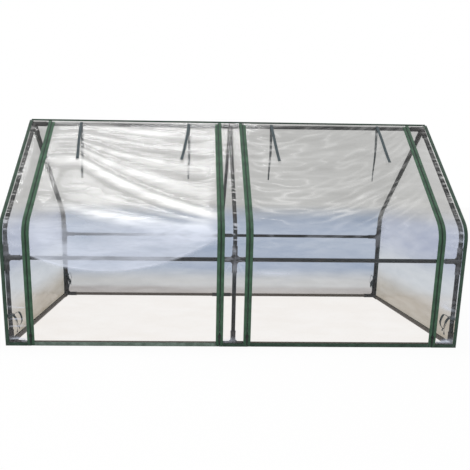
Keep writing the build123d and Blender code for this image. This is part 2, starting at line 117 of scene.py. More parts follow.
def profile(along, distance):
    """Point (y, z) of the front's outline, along from the film's foot, that distance from the axes."""
    if along <= WALL_LENGTH:
        return -(POST_Y + distance), FILM_FOOT + along
    turned = min((along - WALL_LENGTH) / BEND_LENGTH, 1.0) * TURN
    radius = BEND_RADIUS + distance
    past = max(along - WALL_LENGTH - BEND_LENGTH, 0.0)
    return (
        BEND_Y - radius * math.cos(turned) + past * math.cos(ROOF_ANGLE),
        BEND_Z + radius * math.sin(turned) + past * math.sin(ROOF_ANGLE),
    )


def on_profile(x, along, distance, face=-1):
    y, z = profile(along, distance)
    return Vector((x, y if face < 0 else -y, z))


def steps(start, end, pitch):
    """Evenly spaced places from start to end, about a pitch apart."""
    count = max(2, int(round(abs(end - start) / pitch)) + 1)
    return [start + (end - start) * i / (count - 1) for i in range(count)]


# Mesh makers


def new_object(name, mesh, material, smooth=True):
    thing = bpy.data.objects.new(name, mesh)
    bpy.context.scene.collection.objects.link(thing)
    mesh.materials.append(material)
    if smooth:
        mesh.polygons.foreach_set("use_smooth", [True] * len(mesh.polygons))
    return thing


def add_uv(mesh, uvs):
    """A UV map in metres, from one (u, v) for each vertex."""
    layer = mesh.uv_layers.new(name="UVMap")
    index = np.zeros(len(mesh.loops), np.int64)
    mesh.loops.foreach_get("vertex_index", index)
    layer.data.foreach_set("uv", np.asarray(uvs, np.float32)[index].ravel())


def grid_mesh(name, rows, uvs, flip=False):
    """Open sheet from rows of points; uvs has the same shape."""
    rows = np.asarray(rows, float)
    count, width = rows.shape[:2]
    faces = []
    for i in range(count - 1):
        for j in range(width - 1):
            a, b = i * width + j, i * width + j + 1
            c, d = (i + 1) * width + j + 1, (i + 1) * width + j
            faces.append((d, c, b, a) if flip else (a, b, c, d))
    mesh = bpy.data.meshes.new(name)
    mesh.from_pydata(rows.reshape(-1, 3).tolist(), [], faces)
    add_uv(mesh, np.asarray(uvs, float).reshape(-1, 2))
    mesh.update()
    return mesh


def loft_mesh(name, rings):
    """Closed bar through rings of points. Its UVs run round the ring and along the bar, in metres."""
    rings = np.asarray(rings, float)
    count, width = rings.shape[:2]
    seam = np.concatenate([rings, rings[:, :1]], axis=1)
    around = np.zeros((count, width + 1))
    around[:, 1:] = np.cumsum(np.linalg.norm(np.diff(seam, axis=1), axis=2), axis=1)
    centres = rings.mean(axis=1)
    along = np.concatenate([[0], np.cumsum(np.linalg.norm(np.diff(centres, axis=0), axis=1))])
    faces, loop_uv = [], []
    for i in range(count - 1):
        for j in range(width):
            k = (j + 1) % width
            faces.append((i * width + j, i * width + k, (i + 1) * width + k, (i + 1) * width + j))
            loop_uv += [
                (around[i, j], along[i]),
                (around[i, j + 1], along[i]),
                (around[i + 1, j + 1], along[i + 1]),
                (around[i + 1, j], along[i + 1]),
            ]
    for ring in (0, count - 1):
        order = range(width) if ring else range(width - 1, -1, -1)
        faces.append(tuple(ring * width + j for j in order))
        loop_uv += [(around[ring, j], along[ring]) for j in order]
    mesh = bpy.data.meshes.new(name)
    mesh.from_pydata(rings.reshape(-1, 3).tolist(), [], faces)
    mesh.uv_layers.new(name="UVMap").data.foreach_set("uv", np.asarray(loop_uv, np.float32).ravel())
    work = bmesh.new()
    work.from_mesh(mesh)
    bmesh.ops.recalc_face_normals(work, faces=work.faces)
    work.to_mesh(mesh)
    work.free()
    return mesh


def merged(name, meshes):
    """One mesh from several, which are removed."""
    work = bmesh.new()
    for mesh in meshes:
        work.from_mesh(mesh)
        bpy.data.meshes.remove(mesh)
    whole = bpy.data.meshes.new(name)
    work.to_mesh(whole)
    work.free()
    return whole


def rounded_section(width, height, corner, points=3):
    """Closed outline of a rounded bar's section about its middle, as (across, up) pairs."""
    outline = []
    for quarter, (sx, sy) in enumerate(((1, 1), (-1, 1), (-1, -1), (1, -1))):
        for i in range(points):
            angle = math.radians(90) * (quarter + i / (points - 1))
            outline.append((sx * (width / 2 - corner) + corner * math.cos(angle),
                            sy * (height / 2 - corner) + corner * math.sin(angle)))
    return outline


# Materials


def linear(hex_colour):
    """sRGB hex to the linear colour that the shader takes."""
    values = [int(hex_colour[i : i + 2], 16) / 255 for i in (1, 3, 5)]
    return tuple(v / 12.92 if v <= 0.04045 else ((v + 0.055) / 1.055) ** 2.4 for v in values) + (1.0,)


def add_node(tree, kind, sockets=None, **settings):
    """Adds a node with its settings. Each socket is given a value, or is linked if it is given an output."""
    node = tree.nodes.new(kind)
    for key, value in settings.items():
        setattr(node, key, value)
    for key, value in (sockets or {}).items():
        if isinstance(value, bpy.types.NodeSocket):
            tree.links.new(value, node.inputs[key])
        else:
            node.inputs[key].default_value = value
    return node


def new_material(name):
    material = bpy.data.materials.new(name)
    material.use_nodes = True
    tree = material.node_tree
    tree.nodes.clear()
    return material, tree


# Sockets of a colour Mix node: its named ones are the number inputs
MIX_FACTOR, MIX_A, MIX_B, MIX_RESULT = 0, 6, 7, 2

# Scale of a Wave texture, times one band's width
WAVE_BAND = 0.31416

# Heights up a sheet of film between which its painted reflection tint changes: foot to pale band, and band to
# wall
FRONT_ZONES = ((0.20, 0.24), (0.26, 0.30))
REAR_ZONES = ((0.040, 0.066), (0.080, 0.18))
END_ZONES = ((0.08, 0.20), (0.23, 0.36))
ROOF_ZONE = (0.44, 0.56)


def powder_coated_steel(settings):
    """Thin-walled steel tube, stove-enamelled dark green-grey: satin, with a faint orange peel,
    browner in patches where the joints have rubbed it, and paler brown close to the ground."""
    material, tree = new_material("powder_coated_steel")
    place = add_node(tree, "ShaderNodeTexCoord").outputs["Object"]
    patches = add_node(tree, "ShaderNodeTexNoise", {"Vector": place, "Scale": 1 / (45 * MM), "Detail": 6.0})
    peel = add_node(tree, "ShaderNodeTexNoise", {"Vector": place, "Scale": 1 / (1.6 * MM), "Detail": 2.0})
    worn = add_node(tree, "ShaderNodeMapRange",
                    {"Value": patches.outputs[0], "From Min": 0.54, "From Max": 0.74, "To Max": 0.55})
    base = add_node(tree, "ShaderNodeMix",
                    {MIX_FACTOR: patches.outputs[0], MIX_A: linear(settings.tube_dark),
                     MIX_B: linear(settings.tube_light)}, data_type="RGBA")
    colour = add_node(tree, "ShaderNodeMix",
                      {MIX_FACTOR: worn.outputs[0], MIX_A: base.outputs[MIX_RESULT],
                       MIX_B: linear(settings.tube_worn)}, data_type="RGBA")
    height = add_node(tree, "ShaderNodeSeparateXYZ", {0: place}).outputs["Z"]
    # Paler brown towards the bottom, over the lowest 45 mm
    near_ground = add_node(tree, "ShaderNodeMapRange",
                           {"Value": height, "From Min": 12 * MM, "From Max": 45 * MM,
                            "To Min": 0.75, "To Max": 0.0})
    paler_low = add_node(tree, "ShaderNodeMix",
                     {MIX_FACTOR: near_ground.outputs[0], MIX_A: colour.outputs[MIX_RESULT],
                      MIX_B: linear(settings.tube_near_ground)}, data_type="RGBA")
    gloss = add_node(tree, "ShaderNodeMapRange",
                     {"Value": patches.outputs[0], "From Min": 0.3, "From Max": 0.7,
                      "To Min": 0.36, "To Max": 0.52})
    bump = add_node(tree, "ShaderNodeBump",
                    {"Height": peel.outputs[0], "Strength": 0.25, "Distance": 0.15 * MM})
    shader = add_node(tree, "ShaderNodeBsdfPrincipled",
                      {"Base Color": paler_low.outputs[MIX_RESULT], "Roughness": gloss.outputs[0],
                       "Normal": bump.outputs[0], "IOR": 1.5, "Specular IOR Level": 0.28})
    add_node(tree, "ShaderNodeOutputMaterial", {"Surface": shader.outputs[0]})
    return material


def moulded_polypropylene(settings):
    """Injection-moulded polypropylene: mid grey with a spark-eroded matt skin, a little paler in
    clouds where it has been handled."""
    material, tree = new_material("moulded_polypropylene")
    place = add_node(tree, "ShaderNodeTexCoord").outputs["Object"]
    cloud = add_node(tree, "ShaderNodeTexNoise", {"Vector": place, "Scale": 1 / (18 * MM), "Detail": 5.0})
    grain = add_node(tree, "ShaderNodeTexNoise", {"Vector": place, "Scale": 1 / (0.8 * MM), "Detail": 3.0})
    colour = add_node(tree, "ShaderNodeMix",
                      {MIX_FACTOR: cloud.outputs[0], MIX_A: linear(settings.joint_dark),
                       MIX_B: linear(settings.joint_light)}, data_type="RGBA")
    gloss = add_node(tree, "ShaderNodeMapRange",
                     {"Value": cloud.outputs[0], "From Min": 0.3, "From Max": 0.7,
                      "To Min": 0.48, "To Max": 0.62})
    bump = add_node(tree, "ShaderNodeBump",
                    {"Height": grain.outputs[0], "Strength": 0.35, "Distance": 0.1 * MM})
    shader = add_node(tree, "ShaderNodeBsdfPrincipled",
                      {"Base Color": colour.outputs[MIX_RESULT], "Roughness": gloss.outputs[0],
                       "Normal": bump.outputs[0], "IOR": 1.49, "Specular IOR Level": 0.3})
    add_node(tree, "ShaderNodeOutputMaterial", {"Surface": shader.outputs[0]})
    return material


def clear_pvc_film(settings, name, tints, zones, wall_tint, roof_tint, crinkle, grain=0.15):
    """Calendered clear PVC film: it passes most light, whitens along its folds, and mirrors the room
    a little, more so at a glancing angle. The white along its folds is partly whitening of creased
    film and partly painted highlight. Fine crinkles 20 to 40 mm apart break up the mirror.

    Up the sheet, what it passes goes through the tints of its foot, of a paler band, of the wall and
    of the roof. These tints are painted reflection: beige ground near the foot, blue sky on the wall,
    grey on the roof. zones are the heights where each ends and the next begins. wall_tint and roof_tint
    are how strongly they show, and grain is how far that varies. The UV map is in metres, V up.
    """
    material, tree = new_material(name)
    place = add_node(tree, "ShaderNodeTexCoord").outputs["UV"]
    rise = add_node(tree, "ShaderNodeSeparateXYZ", {0: place}).outputs["Y"]
    # Per-point white: partly whitened creases, partly painted highlight and painted reflection
    fold_white_and_highlight = add_node(tree, "ShaderNodeAttribute", attribute_name="fold_white_and_highlight").outputs["Fac"]
    stretched = add_node(tree, "ShaderNodeMapping", {"Vector": place, "Scale": (0.22, 1.0, 1.0),
                                                     "Rotation": (0.0, 0.0, math.radians(-6))})
    streaks = add_node(tree, "ShaderNodeTexNoise",
                       {"Vector": stretched.outputs[0], "Scale": 1 / (34 * MM), "Detail": 3.5,
                        "Roughness": 0.5, "Distortion": 0.25})
    clouds = add_node(tree, "ShaderNodeTexNoise",
                      {"Vector": stretched.outputs[0], "Scale": 1 / (190 * MM), "Detail": 3.0})
    # Painted reflection, set as what the film passes: beige ground at the foot, blue sky on the wall, grey on
    # the roof
    tint = linear(tints[0])
    for colour, (start, end) in zip(tints[1:], (*zones, ROOF_ZONE)):
        past = add_node(tree, "ShaderNodeMapRange", {"Value": rise, "From Min": start, "From Max": end},
                        interpolation_type="SMOOTHSTEP").outputs[0]
        tint = add_node(tree, "ShaderNodeMix", {MIX_FACTOR: past, MIX_A: tint, MIX_B: linear(colour)},
                        data_type="RGBA").outputs[MIX_RESULT]
    depth = add_node(tree, "ShaderNodeMapRange", {"Value": past, "To Min": wall_tint, "To Max": roof_tint})
    cloudy = add_node(tree, "ShaderNodeMapRange",
                      {"Value": clouds.outputs[0], "From Min": 0.3, "From Max": 0.7,
                       "To Min": 0.88, "To Max": 1.12})
    grainy = add_node(tree, "ShaderNodeMapRange",
                      {"Value": streaks.outputs[0], "From Min": 0.35, "From Max": 0.65,
                       "To Min": 1 - grain, "To Max": 1 + grain})
    mottled = add_node(tree, "ShaderNodeMath", {0: cloudy.outputs[0], 1: grainy.outputs[0]},
                       operation="MULTIPLY")
    tinted = add_node(tree, "ShaderNodeMath", {0: depth.outputs[0], 1: mottled.outputs[0]},
                      operation="MULTIPLY", use_clamp=True)
    passed_with_painted_reflection = add_node(tree, "ShaderNodeMix",
                      {MIX_FACTOR: tinted.outputs[0], MIX_A: (1.0, 1.0, 1.0, 1.0), MIX_B: tint},
                      data_type="RGBA")
    clear = add_node(tree, "ShaderNodeBsdfTransparent", {"Color": passed_with_painted_reflection.outputs[MIX_RESULT]})
    # Colour of the whitened share, partly painted highlight; bluish below the eave as a painted sky
    # reflection
    cool = add_node(tree, "ShaderNodeMix",
                    {MIX_FACTOR: past, MIX_A: linear(settings.crease_white_and_sky_wall),
                     MIX_B: linear(settings.crease_white_and_highlight_roof)}, data_type="RGBA")
    crease_white_and_highlight = add_node(tree, "ShaderNodeBsdfPrincipled",
                    {"Base Color": cool.outputs[MIX_RESULT], "Roughness": 0.4, "Specular IOR Level": 0.0})
    streaked = add_node(tree, "ShaderNodeMapRange",
                        {"Value": streaks.outputs[0], "From Min": 0.36, "From Max": 0.66,
                         "To Min": 0.72, "To Max": 1.28})
    whitened = add_node(tree, "ShaderNodeMath", {0: fold_white_and_highlight, 1: streaked.outputs[0]}, operation="MULTIPLY")
    opacity = add_node(tree, "ShaderNodeMath", {0: whitened.outputs[0], 1: settings.haze}, operation="ADD",
                       use_clamp=True)
    veil = add_node(tree, "ShaderNodeMixShader", {0: opacity.outputs[0], 1: clear.outputs[0],
                                                  2: crease_white_and_highlight.outputs[0]})
    bump = add_node(tree, "ShaderNodeBump",
                    {"Height": streaks.outputs[0], "Strength": crinkle, "Distance": 5 * MM})
    mirror = add_node(tree, "ShaderNodeBsdfAnisotropic", {"Roughness": 0.13, "Normal": bump.outputs[0]})
    glancing = add_node(tree, "ShaderNodeLayerWeight", {"Blend": 0.5, "Normal": bump.outputs[0]})
    steep = add_node(tree, "ShaderNodeMath", {0: glancing.outputs["Facing"], 1: 5.0}, operation="POWER")
    mirrored = add_node(tree, "ShaderNodeMapRange",
                        {"Value": steep.outputs[0], "To Min": 0.022, "To Max": 0.5})
    film = add_node(tree, "ShaderNodeMixShader", {0: mirrored.outputs[0], 1: veil.outputs[0],
                                                  2: mirror.outputs[0]})
    add_node(tree, "ShaderNodeOutputMaterial", {"Surface": film.outputs[0]})
    return material


def woven_tape(name, dark, light, thread):
    """Narrow woven polyester: dull, with a plain weave painted paler on its crowns and darker between
    them as light and shade, faded in clouds.
    Threads are drawn about twice as coarse as they are, so that they show."""
    material, tree = new_material(name)
    place = add_node(tree, "ShaderNodeTexCoord").outputs["UV"]
    weft, warp = (
        add_node(tree, "ShaderNodeTexWave", {"Vector": place, "Scale": WAVE_BAND / thread},
                 wave_type="BANDS", bands_direction=direction)
        for direction in ("X", "Y")
    )
    checks = add_node(tree, "ShaderNodeMath", {0: weft.outputs["Fac"], 1: warp.outputs["Fac"]},
                      operation="MULTIPLY")
    fade = add_node(tree, "ShaderNodeTexNoise", {"Vector": place, "Scale": 1 / (35 * MM), "Detail": 5.0})
    faded = add_node(tree, "ShaderNodeMapRange",
                     {"Value": fade.outputs[0], "From Min": 0.3, "From Max": 0.7, "To Max": 0.6})
    # Painted light on the weave's crowns and painted shade between them, plus fading in clouds
    crowns = add_node(tree, "ShaderNodeMath", {0: checks.outputs[0], 1: 0.4, 2: faded.outputs[0]},
                      operation="MULTIPLY_ADD", use_clamp=True)
    colour = add_node(tree, "ShaderNodeMix",
                      {MIX_FACTOR: crowns.outputs[0], MIX_A: linear(dark), MIX_B: linear(light)},
                      data_type="RGBA")
    bump = add_node(tree, "ShaderNodeBump",
                    {"Height": checks.outputs[0], "Strength": 0.5, "Distance": 0.25 * MM})
    shader = add_node(tree, "ShaderNodeBsdfPrincipled",
                      {"Base Color": colour.outputs[MIX_RESULT], "Normal": bump.outputs[0],
                       "Roughness": 0.8, "Sheen Weight": 0.2, "Specular IOR Level": 0.3})
    add_node(tree, "ShaderNodeOutputMaterial", {"Surface": shader.outputs[0]})
    return material


def nylon_coil(settings):
    """Extruded nylon monofilament, coiled and dyed dark green: smooth and a little waxy."""
    material, tree = new_material("nylon_coil")
    place = add_node(tree, "ShaderNodeTexCoord").outputs["UV"]
    tone = add_node(tree, "ShaderNodeTexNoise", {"Vector": place, "Scale": 1 / (6 * MM), "Detail": 3.0})
    colour = add_node(tree, "ShaderNodeMix",
                      {MIX_FACTOR: tone.outputs[0], MIX_A: linear(settings.coil_dark),
                       MIX_B: linear(settings.coil_light)}, data_type="RGBA")
    shader = add_node(tree, "ShaderNodeBsdfPrincipled",
                      {"Base Color": colour.outputs[MIX_RESULT], "Roughness": 0.5, "IOR": 1.53,
                       "Specular IOR Level": 0.3})
    add_node(tree, "ShaderNodeOutputMaterial", {"Surface": shader.outputs[0]})
    return material


def enamelled_zinc(settings):
    """Die-cast zinc under dark enamel: a smooth gloss, slightly uneven where the enamel pooled."""
    material, tree = new_material("enamelled_zinc")
    place = add_node(tree, "ShaderNodeTexCoord").outputs["Object"]
    tone = add_node(tree, "ShaderNodeTexNoise", {"Vector": place, "Scale": 1 / (3 * MM), "Detail": 4.0})
    colour = add_node(tree, "ShaderNodeMix",
                      {MIX_FACTOR: tone.outputs[0], MIX_A: linear(settings.slider_dark),
                       MIX_B: linear(settings.slider_light)}, data_type="RGBA")
    gloss = add_node(tree, "ShaderNodeMapRange",
                     {"Value": tone.outputs[0], "From Min": 0.3, "From Max": 0.7,
                      "To Min": 0.25, "To Max": 0.42})
    shader = add_node(tree, "ShaderNodeBsdfPrincipled",
                      {"Base Color": colour.outputs[MIX_RESULT], "Roughness": gloss.outputs[0],
                       "IOR": 1.5, "Specular IOR Level": 0.4})
    add_node(tree, "ShaderNodeOutputMaterial", {"Surface": shader.outputs[0]})
    return material


# Settings


def colour_setting(name, description, default):
    return StringProperty(name=name, description=description + ", as an sRGB hex value", default=default)


def size_setting(name, description, default):
    return FloatProperty(
        name=name, description=description, default=default, min=0.0, unit="LENGTH", subtype="DISTANCE"
    )


class FrameSettings(bpy.types.PropertyGroup):
    tube_dark: colour_setting("Tube, dark", "Powder coat in its darker patches", "#15191a")
    tube_light: colour_setting("Tube, light", "Powder coat in its lighter patches", "#23292a")
    tube_worn: colour_setting("Tube, rubbed", "Powder coat where it is rubbed thin", "#40362f")
    # Paler brown that the tubes take towards the ground
    tube_near_ground: colour_setting("Tube, dusty", "Powder coat where it lies on the ground", "#6a6158")
    joint_dark: colour_setting("Joint, dark", "Moulded joints, darker", "#2a2b2c")
    joint_light: colour_setting("Joint, light", "Moulded joints, lighter", "#3c3b3a")


class FilmSettings(bpy.types.PropertyGroup):
    # These colours are painted reflection, set as what the film passes: beige ground near the foot, blue sky
    # on the walls, grey on the roof
    front_foot: colour_setting("Front, foot", "What the doors pass of white light near the ground", "#d1bca5")
    front_wall: colour_setting("Front, wall", "What the doors pass below the eave", "#d3d9e3")
    rear_foot: colour_setting("Rear, foot", "What the rear wall passes near the ground", "#aba6a3")
    rear_pale: colour_setting("Rear, pale band", "What it passes a hand's width up", "#c1c1c0")
    rear_wall: colour_setting("Rear, wall", "What it passes below the eave", "#9ba9be")
    end_foot: colour_setting("Ends, foot", "What the ends pass near the ground", "#aea79a")
    end_pale: colour_setting("Ends, pale band", "What they pass a span up", "#cbd0d5")
    end_wall: colour_setting("Ends, wall", "What they pass below the eave", "#aeb5c8")
    roof: colour_setting("Roof", "What all the film passes above the eave", "#bcbcba")
    # White along the folds: partly whitened film, partly painted highlight; bluish below the eave as a
    # painted sky reflection
    crease_white_and_sky_wall: colour_setting("Folds, wall", "Whitened film below the eave", "#e2e9f8")
    crease_white_and_highlight_roof: colour_setting("Folds, roof", "Whitened film on the roof", "#fafaf9")
    haze: FloatProperty(
        name="Haze", description="Share of light that flat film scatters", default=0.01,
        min=0.0, max=1.0, subtype="FACTOR",
    )
    sag: size_setting("Sag", "How far the roof film hangs in between the frames", 0.009)
    fold_height: size_setting("Fold height", "Height of the larger folds", 0.007)
    pucker: size_setting("Pucker", "Depth of the gathers along the bound seams", 0.0022)
    pitch: size_setting("Mesh pitch", "Distance between points of the film's mesh", 0.007)


class BindingSettings(bpy.types.PropertyGroup):
    binding_dark: colour_setting("Binding, dark", "Woven binding in shade of its weave", "#1f2f27")
    binding_light: colour_setting("Binding, light", "Woven binding on its crowns", "#3c5a49")
    hem_thickness: size_setting("Hem thickness", "Folded hem, from the film outwards", 0.0024)
    # Left door's hem, painted paler as a painted sheen along it
    hem_sheen_dark: colour_setting("Faded hem, dark", "Left door's hem in shade of its weave", "#3b4d43")
    hem_sheen_light: colour_setting("Faded hem, light", "Left door's hem on its crowns", "#8b9c93")
    hem_over: size_setting("Hem over tube", "How far the doors' hems reach above the others", 0.002)
    fin_thickness: size_setting("Fin thickness", "Bound seam along the ends", 0.0030)
    binding_overlap: size_setting("Binding overlap", "End binding's reach over the film", 0.006)
    ridge_thickness: size_setting("Ridge seam thickness", "Bound seam along the ridge", 0.0034)


class ZipSettings(bpy.types.PropertyGroup):
    tape_dark: colour_setting("Zip tape, dark", "Zip tape in shade of its weave", "#263c30")
    tape_light: colour_setting("Zip tape, light", "Zip tape on its crowns", "#4d7459")
    coil_dark: colour_setting("Coil, dark", "Nylon coil, darker", "#111d17")
    coil_light: colour_setting("Coil, light", "Nylon coil, lighter", "#20352a")
    slider_dark: colour_setting("Slider, dark", "Slider enamel, darker", "#0d120f")
    slider_light: colour_setting("Slider, light", "Slider enamel, lighter", "#1a221d")
    tape_width: size_setting("Tape width", "One half of the zip", 0.0145)
    tape_thickness: size_setting("Tape thickness", "Woven tape", 0.0009)
    coil_width: size_setting("Coil width", "One row of the coil, across", 0.0026)
    coil_height: size_setting("Coil height", "One row of the coil, off the tape", 0.0010)
    gap: size_setting("Gap", "From the zip's middle to either half", 0.00003)
    tooth_pitch: size_setting("Tooth pitch", "From one turn of the coil to the next", 0.0032)


class RibbonSettings(bpy.types.PropertyGroup):
    ribbon_dark: colour_setting("Ribbon, dark", "Tie ribbon in shade of its weave", "#2b3538")
    ribbon_light: colour_setting("Ribbon, light", "Tie ribbon on its crowns", "#4c5b60")
    width: size_setting("Ribbon width", "Woven ribbon", 0.012)
    thickness: size_setting("Ribbon thickness", "Woven ribbon", 0.0008)
    steps: IntProperty(name="Steps", description="Rings along each ribbon", default=40, min=8)


class StageSettings(bpy.types.PropertyGroup):
    floor: colour_setting("Floor", "Pale floor", "#f6f5f4")
    key: FloatProperty(name="Key lamp", description="Strength of the large lamp in front", default=20.0,
                       min=0.0, unit="POWER")
    top: FloatProperty(name="Top lamp", description="Strength of the lamp over the ridge", default=28.0,
                       min=0.0, unit="POWER")
    sky: FloatProperty(name="Sky", description="Strength of the light from all round", default=0.75, min=0.0)


# Frame


class GREENHOUSE_OT_tubes(bpy.types.Operator):
    """Gives the steel tubes their powder coat"""

    bl_idname = "greenhouse.tubes"
    bl_label = "Tubes"

    def execute(self, context):
        steel = powder_coated_steel(context.scene.greenhouse_frame)
        finish_nodes(("_tube", "_tubes", "_posts", "_rafter"), steel)
        return {"FINISHED"}


class GREENHOUSE_OT_joints(bpy.types.Operator):
    """Gives the push-fit joints their moulded plastic"""

    bl_idname = "greenhouse.joints"
    bl_label = "Push-fit joints"

    def execute(self, context):
        plastic = moulded_polypropylene(context.scene.greenhouse_frame)
        finish_nodes(("_connector", "_connectors"), plastic)
        return {"FINISHED"}


def finish_nodes(endings, material):
    """Gives the frame's nodes with these endings a material, and smooth faces between sharp edges."""
    for name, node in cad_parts.items():
        if name.endswith(endings):
            mesh = node.data
            mesh.polygons.foreach_set("use_smooth", [True] * len(mesh.polygons))
            mesh.set_sharp_from_angle(angle=math.radians(32))
            mesh.materials.clear()
            mesh.materials.append(material)


# Film


def ridged(x, y, z):
    """1 along the crest of a fold, falling to 0 beside it."""
    return (1.0 - min(abs(noise.noise(Vector((x, y, z)))) * 3.2, 1.0)) ** 2


def soft_noise(x, y, z):
    """Smooth noise about 0.5, roughly from 0 to 1."""
    return 0.5 + 0.5 * noise.noise(Vector((x, y, z)))


def bell(distance, width):
    """1 at no distance, falling smoothly to 0 over about two widths."""
    return math.exp(-((distance / width) ** 2))


def smooth_step(low, high, value):
    """0 up to low, 1 from high on, and smooth between."""
    share = min(max((value - low) / (high - low), 0.0), 1.0)
    return share * share * (3 - 2 * share)


def near_ridge(along):
    """1 in the last finger's width of a door's film, where it is gathered into the ridge's seam."""
    return smooth_step(PROFILE_LENGTH - 0.030, PROFILE_LENGTH - 0.012, along)


def beside_seam(distance):
    """1 a few millimetres from a bound seam, where film puckers, and 0 at its stitches and far off."""
    return bell(distance, 0.030) * (1.0 - bell(distance, 0.004))


def slack_door_folds(x, along):
    """Height (from 0 to 1) and whiteness of the left door's folds. The whiteness is painted highlight
    along the folds, and painted reflection over the swag.

    Long folds fan down from the outer zip to the inner one, steepest half way up the roof. The
    slack gathers below the eave in a swag, which ends in one hanging crease.
    """
    steepest, main_start, second_start, spacing = 0.686, 0.690, 0.492, 0.086
    from_middle = x - DOOR_MIDDLE["left"]
    across = max(from_middle, -0.22)
    start = along
    for _ in range(6):
        steepness = 0.20 + 0.80 * bell(start - steepest, 0.13 if start < steepest else 0.22)
        start = along + steepness * (0.62 * across - 0.48 * across * across)
    wobble = 1.9 * noise.noise(Vector((x * 1.5, start * 4.0, 3.1)))
    strength = smooth_step(-0.35, 0.30, noise.noise(Vector((x * 2.2, start * 8.0, 6.3))))
    band = 0.5 + 0.5 * math.cos(2 * math.pi * (start - main_start) / spacing + wobble)
    fine = soft_noise(x * 2.5, start * 30.0, 8.2)
    begun = smooth_step(-0.39, -0.25, from_middle)
    main = bell(start - main_start, 0.029) * (0.35 + 0.65 * begun)
    widening = 0.018 + 0.05 * max(from_middle + 0.10, 0.0)
    second = bell(start - second_start, widening) * smooth_step(-0.28, 0.10, from_middle)
    crease = 0.303 + 0.70 * (x + 0.50) ** 2
    above = along - crease
    swag = smooth_step(-0.004, 0.003, above) * (1.0 - smooth_step(0.08, 0.15, above))
    edge = bell(above, 0.007) * (0.4 + 0.8 * (1.0 - smooth_step(-0.33, -0.08, from_middle)))
    loose = smooth_step(0.06, 0.14, above)
    height = 0.8 * main + 0.6 * second + loose * (0.20 * band + 0.07 * fine)
    height += 0.55 * smooth_step(-0.025, 0.0, above) * (1.0 - smooth_step(0.02, 0.16, above))
    # Painted highlight along the two long folds, the loose bands, the swag's hanging crease, the eave and the
    # ridge; painted reflection over the swag
    white = 0.52 * main + 0.60 * second
    white += loose * (0.03 + 0.46 * band * (0.35 + 0.65 * strength) + 0.04 * fine)
    white += 0.54 * swag + 0.34 * edge + 0.30 * near_ridge(along) * fine
    white += 0.16 * bell(along - 0.47, 0.05)
    return height, white


def smoother_door_folds(x, along):
    """The right door's folds: low, fanned out from the inner zip, mottled lower down the roof."""
    reach = x - DOOR_FILM["right"][0].x
    fan = along + 0.20 * reach - 0.75 * reach * reach
    bands = ridged(x * 2.2, fan * 15.0, 12.7)
    ripple = ridged(x * 8.0, fan * 42.0, 5.5)
    mottle = soft_noise(x * 14, along * 19, 4.4)
    on_roof = smooth_step(0.42, 0.56, along)
    near_zip = 1.0 - smooth_step(0.0, 0.30, reach)
    lower_roof = bell(along - 0.60, 0.12)
    at_purlin = bell(along - 0.300, 0.040) * bell(reach - 0.07, 0.10) * ridged(x * 5.0, fan * 18.0, 9.1)
    height = on_roof * (0.22 * bands + 0.14 * mottle + 0.10 * ripple) + 0.10 * mottle + 0.25 * at_purlin
    # Painted highlight on the ripples and bands, round the purlin and near the ridge
    white = on_roof * ripple * (0.10 + 0.14 * near_zip + 0.12 * mottle)
    white += on_roof * (0.07 * bands + 0.02) + 0.24 * lower_roof * mottle * ripple
    white += 0.12 * smooth_step(0.33, 0.40, along) * (1.0 - on_roof) * ripple + 0.5 * at_purlin
    white += 0.5 * near_ridge(along) * mottle * (1.0 - smooth_step(0.15, 0.35, reach))
    return height, white


def tight_folds(x, along):
    """Film that is pulled tight: short low ripples, askew, faintly white on their crests, partly as painted
    highlight.
    """
    ripple = ridged(x * 5.0 + along * 2.0, along * 16.0, 21.0)
    mottle = soft_noise(x * 6, along * 9, 2.4)
    return 0.22 * ripple + 0.2 * mottle, 0.07 * ripple * mottle


def rear_folds(x, along):
    """The rear wall's film: tight, and whiter above the pale band in its left half."""
    height, white = tight_folds(x, along)
    whiter_patch = smooth_step(-0.84, -0.66, x) * (1.0 - smooth_step(-0.24, -0.10, x))
    whiter_patch *= smooth_step(0.14, 0.24, along) * (1.0 - smooth_step(0.44, 0.54, along))
    return height, white + 0.30 * whiter_patch


def strip_folds(x, along):
    """Tight film beside a door, with level glints near the ground and crumples on the joints. Its whiteness
    is painted highlight: the glints, notches over the tubes, the crumples, the bend and the foot.
    """
    height, white = tight_folds(x, along)
    at_end = abs(x) > END_X / 2
    glint = max(ridged(x * 3.0, along * 21.0, 40.0) - 0.55, 0.0) * (1.0 - smooth_step(0.14, 0.22, along))
    to_tube = min(abs(x), END_X - abs(x))
    notch = smooth_step(0.52, 0.74, ridged(x * 7.0, along * 44.0, 7.7))
    pulled = smooth_step(0.36, 0.44, along) * (1.0 - 0.8 * smooth_step(0.78, 0.92, along))
    tube_highlight = bell(to_tube, 0.010) * pulled * notch
    at_foot = bell(along - 0.026, 0.012) * smooth_step(0.3, 0.7, ridged(x * 14.0, along * 30.0, 1.0))
    above_cross = along + FILM_FOOT - PURLIN_Z
    from_cross, turn = math.hypot(x, above_cross), math.atan2(above_cross, x)
    crumple = smooth_step(0.2, 0.6, ridged(turn * 1.6, from_cross * 8.0, 2.0))
    crumple *= bell(from_cross - 0.030, 0.024)
    at_bend = bell(along - 0.42, 0.10) * ridged(x * 5.0, along * 26.0, 15.0) * at_end
    # Painted highlight: glints near the ground, notches over the tubes, crumples round the purlin joint, the
    # bend and the foot
    white += 2.2 * glint * at_end + 0.80 * tube_highlight + 0.5 * crumple + 0.4 * at_bend + 0.5 * at_foot
    return height + 0.4 * crumple + 0.3 * at_bend, white


def near_support(x, along):
    """1 where film lies against a tube behind it, falling to 0 over two finger widths."""
    reach = 0.040
    close = min(abs(x - tube_x) for tube_x in (-END_X, 0.0, END_X))
    if along < WALL_LENGTH:
        close = min(close, abs(FILM_FOOT + along - PURLIN_Z))
    return max(1.0 - close / reach, 0.0) ** 1.5


